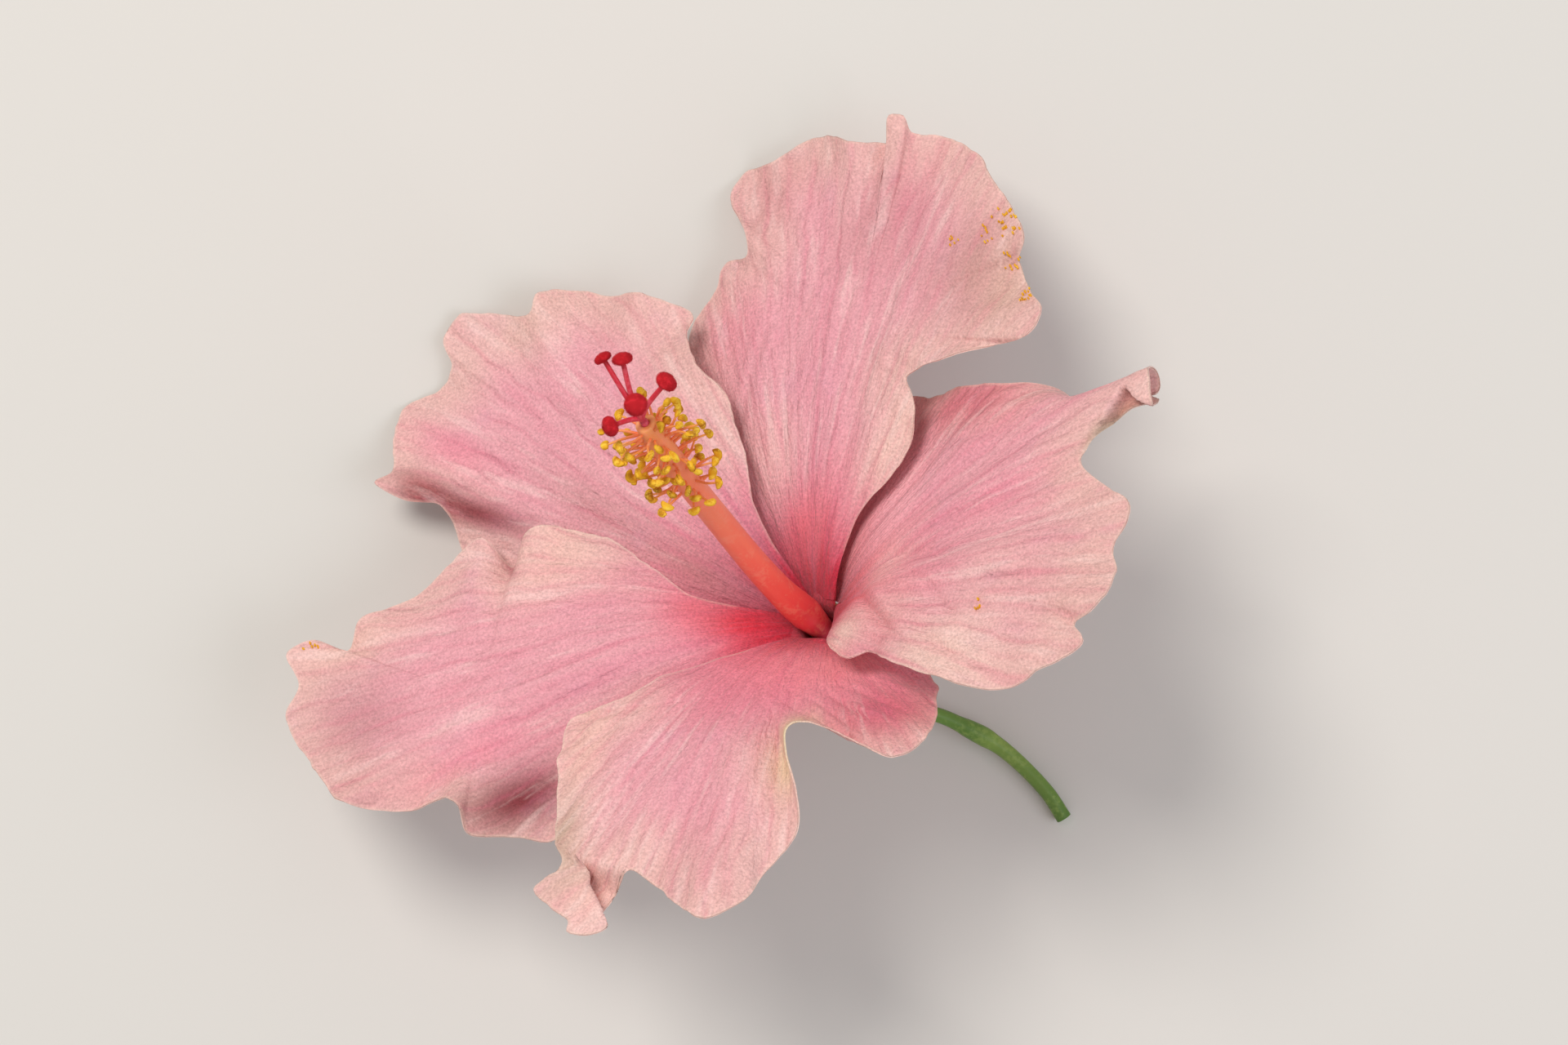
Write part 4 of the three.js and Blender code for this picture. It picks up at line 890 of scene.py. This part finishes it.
def blade_faces():
    """Faces of one side of a blade: a fan round the hub, quads between rings, and the outermost ring."""
    ring = np.arange(SPOKES)
    following = (ring + 1) % SPOKES
    start = 1 + np.arange(RINGS - 1)[:, None] * SPOKES
    corners = [start + ring, start + following, start + SPOKES + following, start + SPOKES + ring]
    quads = np.stack(corners, -1).reshape(-1, 4)
    fan_round_hub = np.stack([np.zeros(SPOKES, int), 1 + following, 1 + ring], 1)
    last = 1 + (RINGS - 1) * SPOKES
    return fan_round_hub, quads, last + ring, last + following


def petal_blade(name, spec, seed):
    """A petal as one closed two-sided blade with its foot, and the places of the pollen on it."""
    x, y, from_margin, points = blade_points(spec, seed)
    hub_fan, quads, rim, rim_following = blade_faces()
    up = vertex_normals(points, quads)
    up[0] = up[1 : 1 + SPOKES].mean(0)
    thicker = (BLADE_HALF_THICKNESS - EDGE_HALF_THICKNESS) * smooth(0, 5, from_margin)
    half = (EDGE_HALF_THICKNESS + thicker)[:, None]
    count = len(points)
    sheet = np.vstack([points + up * half, points - up * half])
    edge_faces = np.stack([rim_following, rim, rim + count, rim_following + count], 1)
    faces = [*hub_fan, *(hub_fan[:, ::-1] + count), *quads, *(quads[:, ::-1] + count), *edge_faces]

    azimuth, cone = math.radians(spec["azimuth"]), math.radians(spec["cone"])
    foot, foot_faces = claw_foot(cone)
    faces += [tuple(int(i) + len(sheet) for i in face) for face in foot_faces]
    out = np.array([math.cos(azimuth), math.sin(azimuth), 0])
    axis = np.array([0, 0, 1.0])
    basis_x = np.cross(out, axis)
    basis_y = out * math.sin(cone) + axis * math.cos(cone)
    basis = np.array([basis_x, basis_y, np.cross(basis_x, basis_y)])
    claw = out * CLAW_RADIUS + axis * CLAW_DEPTH
    laid = laid_down(claw + np.vstack([sheet, foot]) @ basis)

    pick = np.random.default_rng(seed)
    raised = laid_down(claw + (points + up * (half + 0.12)) @ basis)
    dusted = []
    for dust_x, dust_y, wide, tall, places in spec.get("dust", []):
        near = np.nonzero(((x - dust_x) / wide) ** 2 + ((y - dust_y) / tall) ** 2 < 1)[0]
        dusted.extend(raised[pick.choice(near, places)])

    across, along = fan_of(x, y)
    front = blade_tone(spec, x, y, from_margin, seed)
    back = front * 0.96 + 0.04 * np.array(linear(BACK_CREAM))
    paler = smooth(-4, 2, foot[:, 1])[:, None]
    foot_tone = np.array(linear(FOOT_RED)) * (1 - paler) + np.array(linear(FOOT_PINK)) * paler
    # Each petal takes its streaks from another layer of the noise.
    layer = seed * 7.3
    blade_fan = np.stack([across * FAN_RADIUS, along, np.full(count, layer)], 1)
    foot_fan = np.stack([foot[:, 0] * FAN_RADIUS / VEIN_ROOT, foot[:, 1], np.full(len(foot), layer)], 1)
    # The pale line on the edge fades out towards the claw.
    blade_edge = from_margin + 3 * smooth(14, 7, along)
    veins = np.clip(vein_lines(across, along, seed + 12), 0, 1)
    values = {
        "tone": np.vstack([front, back, foot_tone]),
        "fan": np.vstack([blade_fan, blade_fan, foot_fan]),
        "edge": np.r_[blade_edge, blade_edge, np.full(len(foot), 3.0)],
        "vein": np.r_[veins, veins, np.zeros(len(foot))],
    }
    return new_piece(name, laid, faces, petal_tissue, values), dusted


pollen_places = {}
for order, (petal_name, petal_spec) in enumerate(PETALS.items()):
    petal, dusted = petal_blade(petal_name + "_blade", petal_spec, 11 + 17 * order)
    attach(petal, "root")
    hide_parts(petal_name)
    if dusted:
        pollen_places[petal_name] = dusted


# ---- Staminal column ------------------------------------------------------------------------------------
# The column is a hollow tube of soft tissue, which the stalks of the stamens form where they grow joined.
# It stands on the claws of the petals, is faintly ribbed, and goes from coral red to salmon at its end.

COLUMN_TOP = 52.5
COLUMN_FOOT = -13.2
COLUMN_BORE = 0.95
COLUMN_LINE = [
    (0, 0, COLUMN_FOOT), (0, 0, -5), (0, 0.3, -1), (0, 1.1, 6), (0, 1.5, 14), (0, 1.6, 30), (0, 1.5, 42),
    (0, 1.1, COLUMN_TOP),
]
# (height along the axis, radius)
COLUMN_PROFILE = [
    (COLUMN_FOOT, 1.7), (-5, 1.7), (-2.5, 2), (0, 2.35), (3, 2.3), (8, 2.05), (20, 1.9), (40, 1.8),
    (49, 1.7), (COLUMN_TOP, 1.45),
]
# The channel narrows round the style at its mouth.
BORE_PROFILE = [
    (COLUMN_TOP - 0.1, 0.62), (COLUMN_TOP - 1.5, 0.8), (20, COLUMN_BORE), (COLUMN_FOOT, COLUMN_BORE),
]
COLUMN_SIDES = 60
COLUMN_REDS = [
    (-6, "#D9405A"), (0, "#EA4650"), (6, "#F6564E"), (18, "#FB705B"), (30, "#FD8868"), (42, "#FB956C"),
    (52, "#F8A264"),
]

column_curve = spline(COLUMN_LINE, np.linspace(0, 1, 401)[1:])


def column_centre(height):
    """The middle of the column at a height along the axis."""
    found = np.nonzero(column_curve[:, 2] >= height)[0]
    return column_curve[found[0] if len(found) else -1]


def column_radius(height):
    """The column's outer radius at a height along the axis."""
    heights, radii = np.array(COLUMN_PROFILE).T
    return np.interp(height, heights, radii)


# Moist, fleshy skin as it grew: a satin gleam down one side, and light that goes in and comes out warm.
column_skin = tissue("column tissue, moist satin", 0.42, 0.5, 0.05, "#FBA083", 0.35, 0.35, 1.2)

lip = [COLUMN_TOP - 0.08, COLUMN_TOP]
heights = np.concatenate([np.linspace(COLUMN_FOOT, 0, 30), np.linspace(0.4, COLUMN_TOP - 0.25, 150), lip])
centres = np.array([column_centre(h) for h in heights])
centres[:, 2] = heights
centres[:, 1] = np.interp(heights, column_curve[:, 2], column_curve[:, 1])
angles = 2 * np.pi * np.arange(COLUMN_SIDES) / COLUMN_SIDES
ribs = 1 + 0.022 * np.cos(5 * angles)[None, :] * smooth(2, 10, heights)[:, None]
ribs = ribs + 0.016 * noise(angles[None, :] * 3, heights[:, None] / 9, 4)
lip_shrink = np.r_[np.ones(len(heights) - 2), 0.95, 0.82]
outer = tube_rings(centres, column_radius(heights)[:, None] * ribs * lip_shrink[:, None], COLUMN_SIDES)
bore_heights, bore_radii = np.transpose(BORE_PROFILE)
bore_centres = np.array([column_centre(h) for h in bore_heights])
inner = tube_rings(bore_centres[::-1], bore_radii[::-1], COLUMN_SIDES)[::-1]
rings = np.concatenate([outer, inner])
tube_faces = ring_faces(len(rings), COLUMN_SIDES, close_ends=False)
last = (len(rings) - 1) * COLUMN_SIDES
for k in range(COLUMN_SIDES):
    following = (k + 1) % COLUMN_SIDES
    tube_faces.append((last + k, last + following, following, k))
ring_heights = np.repeat(np.r_[heights, bore_heights], COLUMN_SIDES)
streaks = noise(np.tile(angles, len(rings)) * 4, ring_heights / 7, 31)
tube_tone = ramp(ring_heights + 3 * streaks, COLUMN_REDS)
tube = new_piece(
    "column_tube", laid_down(rings.reshape(-1, 3)), tube_faces, column_skin, {"tone": tube_tone}
)
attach(tube, "root")
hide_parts("staminal_column")


# ---- Free filaments and anthers -------------------------------------------------------------------------
# Thin, moist filaments grow out of the upper part of the column all round. Each carries an anther, a small
# kidney of yellow tissue that has split along its back and is dusted with its own pollen.

STAMEN_COUNT = 84
STAMEN_FIRST = 34.5
# The turn from one to the next that spreads points evenly round an axis.
GOLDEN_ANGLE = 2.39996
FULL_TURN = 6.28
FILAMENT_HALF_WIDTHS = (0.24, 0.13)
FILAMENT_RINGS = 9
FILAMENT_SIDES = 8
ANTHER_RADIUS = 0.85
STIGMA_RADIUS = 1.35
BRANCH_RADIUS = 0.42
BRANCH_CLEARANCE = 0.9
# Each style branch, which the anthers keep clear of: (its end from the column's end, size of its pad)
STIGMAS = [
    ((4.4, -1, 10.2), 0.85), ((2.4, -2.9, 9.9), 1), ((-2.1, -5.6, 6.1), 1.1), ((-3.3, -0.6, 7.6), 1.15),
    ((-1.4, 3.8, 5.3), 1),
]
FILAMENT_ORANGES = [(0, "#F6855A"), (0.5, "#F28C50"), (1, "#EFA94A")]
ANTHER_YELLOWS = [(0, "#A9680E"), (0.35, "#DB9A18"), (0.7, "#EFB722"), (1, "#F9D24A")]

column_end = np.array(COLUMN_LINE[-1], float)


def branch_points(place):
    """The points that a style branch is drawn through, from inside the column to its stigma."""
    place = np.array(place, float)
    start = column_end - (0, 0, 0.4)
    leave = column_end + (0, 0, 1)
    bend = column_end + place * (0.3, 0.3, 0.52)
    return np.array([start, leave, bend, column_end + place])


def seeded_draw(state):
    """An endless row of numbers from 0 to 1, always the same for the same start."""
    while True:
        state = (state * 1664525 + 1013904223) % 4294967296
        yield state / 4294967296


def stamen_places():
    """The root, tip and outward direction of each filament that keeps clear of the style branches."""
    draw = seeded_draw(7)
    branches = np.vstack([spline(branch_points(place), np.linspace(0, 1, 9)) for place, _ in STIGMAS])
    for k in range(STAMEN_COUNT):
        share = (k + 0.5) / STAMEN_COUNT
        height = STAMEN_FIRST + (COLUMN_TOP - 1.2 - STAMEN_FIRST) * share**0.7
        angle = k * GOLDEN_ANGLE + 0.5 * (next(draw) - 0.5)
        length = 1.5 + (2.4 + 1.8 * share) * next(draw)
        rise = math.radians(5 + 40 * next(draw) * share)
        outward = np.array([math.cos(angle), math.sin(angle), 0])
        inside = column_radius(height) * 0.5
        root = column_centre(height) + outward * inside
        along = outward * math.cos(rise) + np.array([0, 0, math.sin(rise)])
        tip = root + along * (inside + length)
        if np.linalg.norm(branches - tip, axis=1).min() >= ANTHER_RADIUS + BRANCH_RADIUS + BRANCH_CLEARANCE:
            yield root, tip, outward


def turned_frame(along, spin):
    """Three axes, the last along the given direction."""
    along = along / np.linalg.norm(along)
    side = np.cross(along, (0, 0, 1) if abs(along[2]) < 0.9 else (1, 0, 0))
    side /= np.linalg.norm(side)
    up = np.cross(along, side)
    turned_side = side * math.cos(spin) + up * math.sin(spin)
    return np.array([turned_side, up * math.cos(spin) - side * math.sin(spin), along])


def kidney(columns=20, rows=12):
    """A kidney 1.7 mm long with a seam along its back; points and faces."""
    v = np.linspace(0, np.pi, rows + 1)[1:-1][:, None]
    u = (2 * np.pi * np.arange(columns) / columns)[None, :]
    long = 0.82 * np.cos(v) + 0 * u
    girth = 0.5 * np.sin(v) ** 0.8 * (1 - 0.16 * np.exp(-((np.sin(u / 2 - 0.8) / 0.16) ** 2)))
    deep, high = girth * np.cos(u), girth * np.sin(u) * 0.85
    bend = 0.42 * long**2
    body = np.stack([long, deep - bend + 0.12, high], -1).reshape(-1, 3)
    body = np.vstack([body, [(0.82, -0.42 * 0.67 + 0.12, 0), (-0.82, -0.42 * 0.67 + 0.12, 0)]])
    faces = ring_faces(rows - 1, columns, close_ends=False)
    top, low = len(body) - 2, (rows - 2) * columns
    faces = [tuple(reversed(f)) for f in faces]
    faces += [(top, k, (k + 1) % columns) for k in range(columns)]
    faces += [(top + 1, low + (k + 1) % columns, low + k) for k in range(columns)]
    return body, faces


# Moist threads with a satin gleam, and anthers that are matt and granular with pollen.
filament_skin = tissue("filament tissue, moist satin", 0.4, 0.4, 0.03, "#FFC9A0", 0.3, 0.3, 0.6)
anther_skin = tissue("anther with pollen, granular", 0.85, 0.16, 0.12, "#FFD64A", 0.75)

filament_points, filament_faces, filament_tone = [], [], []
anther_points, anther_faces, anther_tone = [], [], []
kidney_points, kidney_faces = kidney()
long, deep, high = kidney_points.T
draw = seeded_draw(91)
for root, tip, outward in stamen_places():
    droop = np.array([0, 0, 0.9 * (next(draw) - 0.35)])
    droop = droop + np.cross(outward, (0, 0, 1)) * 0.9 * (next(draw) - 0.5)
    along = np.linspace(0, 1, FILAMENT_RINGS)
    line = spline([root, root * 0.45 + tip * 0.55 + droop, tip], along)
    first = sum(len(p) for p in filament_points)
    radii = np.linspace(*FILAMENT_HALF_WIDTHS, FILAMENT_RINGS)
    filament_points.append(tube_rings(line, radii, FILAMENT_SIDES).reshape(-1, 3))
    filament_faces += ring_faces(FILAMENT_RINGS, FILAMENT_SIDES, first=first)
    filament_tone.append(ramp(np.repeat(along, FILAMENT_SIDES), FILAMENT_ORANGES))
    first = sum(len(p) for p in anther_points)
    axes = turned_frame(line[-1] - line[-2], FULL_TURN * next(draw))
    size = 0.98 + 0.2 * next(draw)
    lumps = 1 + 0.07 * noise(long * 5 + first, deep * 5 + high * 3, 8)
    anther_points.append(tip + size * (kidney_points * lumps[:, None]) @ axes[[0, 2, 1]])
    anther_faces += [tuple(first + k for k in face) for face in kidney_faces]
    shade = 0.5 + 0.5 * noise(long * 3 + first, high * 4, 9) + 0.5 * (next(draw) - 0.5)
    anther_tone.append(ramp(shade, ANTHER_YELLOWS))

filaments = new_piece(
    "filaments", laid_down(np.vstack(filament_points)), filament_faces, filament_skin,
    {"tone": np.vstack(filament_tone)},
)
anthers = new_piece(
    "anthers", laid_down(np.vstack(anther_points)), anther_faces, anther_skin,
    {"tone": np.vstack(anther_tone)},
)
for piece in (filaments, anthers):
    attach(piece, "root")
    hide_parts("staminal_column")


# ---- Pollen on the petals -------------------------------------------------------------------------------
# Grains of pollen, which the anthers shed, are sticky and cling to the blades in ones and twos. They are
# drawn as small yellow clumps, since a single grain would be too fine to see.

GRAIN_RADIUS = 0.27
GRAIN_YELLOW = "#E3A21E"
# A second grain clings to the first in this share of the places.
PAIRED_SHARE = 0.4

clump_points, clump_faces = kidney(8, 6)
for petal_name, places in pollen_places.items():
    grain_points, grain_faces = [], []
    for place in places:
        for k in range(1 + (next(draw) > 1 - PAIRED_SHARE)):
            size = GRAIN_RADIUS * (0.8 + 0.4 * next(draw)) * MM
            turn = FULL_TURN * next(draw)
            shift = k * 1.6 * size * np.array([math.cos(turn), math.sin(turn), 0.0])
            axes = turned_frame(np.array([1, 0.5, 0.3]), turn)
            first = len(grain_points) * len(clump_points)
            grain_points.append(place + shift + 1.3 * size * clump_points @ axes)
            grain_faces += [tuple(first + i for i in face) for face in clump_faces]
    grain_points = np.vstack(grain_points)
    grain_tone = np.repeat(np.array(linear(GRAIN_YELLOW))[None], len(grain_points), 0)
    grains = new_piece(
        "pollen_on_" + petal_name, grain_points, grain_faces, anther_skin, {"tone": grain_tone}
    )
    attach(grains, "root")
    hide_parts(petal_name)


# ---- Style and stigmas ----------------------------------------------------------------------------------
# The style is a soft thread that grew from the ovary up the column's channel. It parts at the end into
# five red branches, each with a round stigma pad whose short hairs make it velvety.

STYLE_FOOT = -14.8
STYLE_RADIUS = 0.55
STYLE_RINGS = 60
STYLE_SIDES = 12
BRANCH_HALF_WIDTHS = (0.44, 0.34)
BRANCH_RINGS = 26
BRANCH_SIDES = 14
PAD_SHARE = 0.93
PAD_FLATTENING = 0.52
PAD_ROWS = 16
PAD_COLUMNS = 26
HAIR_COUNT = 620
HAIR_WIDTH = 0.055
# The shortest hair, and how much longer one may be.
HAIR_LENGTHS = (0.17, 0.11)
STYLE_REDS = [(0, "#E9A0A0"), (1, "#DE4A5C")]
BRANCH_REDS = [(0, "#E0485A"), (0.5, "#D93A50"), (1, "#C3202F")]
PAD_RED = "#B50D1C"
HAIR_REDS = [(0, "#B80F1E"), (1, "#D8222E")]

# Moist thread with a soft gleam, and pads that are dull and velvety like cut pile.
style_skin = tissue("style tissue, moist", 0.38, 0.5, 0.02, "#F2808E", 0.3, 0.3, 0.6)
stigma_skin = tissue("stigma pad, velvety", 0.8, 0.12, 0.05, "#F0303F", 0.5)

style_points, style_faces, style_tone = [], [], []
pad_points, pad_faces, pad_tone = [], [], []


def add_rod(line, radii, count, stops):
    """Adds a round thread to the style, coloured from end to end."""
    first = sum(len(p) for p in style_points)
    style_points.append(tube_rings(line, radii, count).reshape(-1, 3))
    style_faces.extend(ring_faces(len(line), count, first=first))
    style_tone.append(ramp(np.repeat(np.linspace(0, 1, len(line)), count), stops))


style_heights = np.linspace(STYLE_FOOT, COLUMN_TOP + 0.6, STYLE_RINGS)
style_line = np.array([column_centre(h) for h in style_heights])
style_line[:, 2] = style_heights
add_rod(style_line, np.full(STYLE_RINGS, STYLE_RADIUS), STYLE_SIDES, STYLE_REDS)
v = np.linspace(0, np.pi, PAD_ROWS + 1)[1:-1][:, None]
u = (2 * np.pi * np.arange(PAD_COLUMNS) / PAD_COLUMNS)[None, :]
for place, size in STIGMAS:
    line = spline(branch_points(place), np.linspace(0, 1, BRANCH_RINGS))
    add_rod(line, np.linspace(*BRANCH_HALF_WIDTHS, BRANCH_RINGS), BRANCH_SIDES, BRANCH_REDS)
    axes = turned_frame(line[-1] - line[-2], 1.1)
    radius = PAD_SHARE * STIGMA_RADIUS * size
    wobble = 1 + 0.07 * noise(u * 2 + 9 * size, v * 2, 3)
    round_pad = [np.sin(v) * np.cos(u) * wobble, np.sin(v) * np.sin(u) * wobble]
    pad = np.stack([*round_pad, -PAD_FLATTENING * np.cos(v) + 0 * u], -1).reshape(-1, 3)
    pad = np.vstack([pad, [(0, 0, -PAD_FLATTENING), (0, 0, PAD_FLATTENING)]]) * radius
    first = sum(len(p) for p in pad_points)
    pad_points.append(line[-1] + pad @ axes)
    low, top = first + (PAD_ROWS - 1) * PAD_COLUMNS, first + (PAD_ROWS - 2) * PAD_COLUMNS
    pad_faces += ring_faces(PAD_ROWS - 1, PAD_COLUMNS, close_ends=False, first=first)
    pad_faces += [(low, first + (k + 1) % PAD_COLUMNS, first + k) for k in range(PAD_COLUMNS)]
    pad_faces += [(low + 1, top + k, top + (k + 1) % PAD_COLUMNS) for k in range(PAD_COLUMNS)]
    pad_tone.append(np.repeat(np.array(linear(PAD_RED))[None], len(pad), 0))
    for k in range(HAIR_COUNT):
        height = 1 - 1.6 * (k + 0.5) / HAIR_COUNT
        turn = GOLDEN_ANGLE * k
        flat = math.sqrt(max(0, 1 - height * height))
        normal = np.array([flat * math.cos(turn), flat * math.sin(turn), height])
        root = normal * (1, 1, PAD_FLATTENING) * radius * 0.97
        skin = normal * (1, 1, PAD_FLATTENING) * radius
        lean = normal + 0.35 * (np.array([next(draw), next(draw), next(draw)]) - 0.5)
        hair = (HAIR_LENGTHS[0] + HAIR_LENGTHS[1] * next(draw)) * lean / np.linalg.norm(lean)
        side, up = turned_frame(lean, turn)[:2] * HAIR_WIDTH
        corners = [root + side, root - 0.5 * side + 0.87 * up, root - 0.5 * side - 0.87 * up, skin + hair]
        first = sum(len(p) for p in pad_points)
        pad_points.append(line[-1] + np.array(corners) @ axes)
        pad_faces += [(first + a, first + b, first + 3) for a, b in ((0, 1), (1, 2), (2, 0))]
        pad_tone.append(ramp(np.array([0, 0, 0, 1.0]), HAIR_REDS))

style = new_piece(
    "style_branches", laid_down(np.vstack(style_points)), style_faces, style_skin,
    {"tone": np.vstack(style_tone)},
)
stigmas = new_piece(
    "stigma_pads", laid_down(np.vstack(pad_points)), pad_faces, stigma_skin,
    {"tone": np.vstack(pad_tone)},
)
for piece in (style, stigmas):
    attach(piece, "root")
    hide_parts("style")


# ---- Camera, floor and light ----------------------------------------------------------------------------
# The flower lies on a matt pale board under a large soft lamp and a weaker one from the other side. The
# camera stands over it and looks straight down.

CAMERA_HEIGHT = 600
FLOOR_HALF_WIDTH = 3
FLOOR_DROP = 0.2 * MM

camera_data = bpy.data.cameras.new("camera")
camera_data.sensor_width = 36
camera_data.lens = 97.4
camera = bpy.data.objects.new("camera", camera_data)
camera.location = (THROAT + (-3.46, 12.7, CAMERA_HEIGHT)) * MM
bpy.context.scene.collection.objects.link(camera)
bpy.context.scene.camera = camera

# Matt painted board: no shine, so the shadows stay soft and even.
floor_paint = bpy.data.materials.new("matt pale board")
floor_paint.use_nodes = True
floor_shader = floor_paint.node_tree.nodes["Principled BSDF"]
floor_shader.inputs["Base Color"].default_value = linear("#D6D3CE")
floor_shader.inputs["Roughness"].default_value = 0.75
floor_mesh = bpy.data.meshes.new("floor")
corners = [(-1, -1), (1, -1), (1, 1), (-1, 1)]
floor_corners = [(x * FLOOR_HALF_WIDTH, y * FLOOR_HALF_WIDTH, -FLOOR_DROP) for x, y in corners]
floor_mesh.from_pydata(floor_corners, [], [(0, 1, 2, 3)])
floor_mesh.materials.append(floor_paint)
floor = bpy.data.objects.new("floor", floor_mesh)
bpy.context.scene.collection.objects.link(floor)


def soft_light(name, place, size, power, colour):
    """A round soft lamp, in metres and watts, that faces the flower."""
    data = bpy.data.lights.new(name, "AREA")
    data.shape = "DISK"
    data.size = size
    data.energy = power
    data.color = linear(colour)[:3]
    lamp = bpy.data.objects.new(name, data)
    lamp.location = place
    lamp.rotation_mode = "QUATERNION"
    aim = Vector((0, 0, 0.03)) - Vector(place)
    lamp.rotation_quaternion = aim.to_track_quat("-Z", "Y")
    bpy.context.scene.collection.objects.link(lamp)


soft_light("key", (-0.42, 0.5, 1.1), 0.5, 10, "#FFFAF4")
soft_light("fill", (0.7, -0.25, 0.8), 0.8, 3.5, "#F2F5FF")

world = bpy.data.worlds.new("studio")
world.use_nodes = True
world.node_tree.nodes["Background"].inputs["Color"].default_value = linear("#F4F3F1")
world.node_tree.nodes["Background"].inputs["Strength"].default_value = 0.5
bpy.context.scene.world = world
bpy.context.scene.view_settings.view_transform = "Standard"
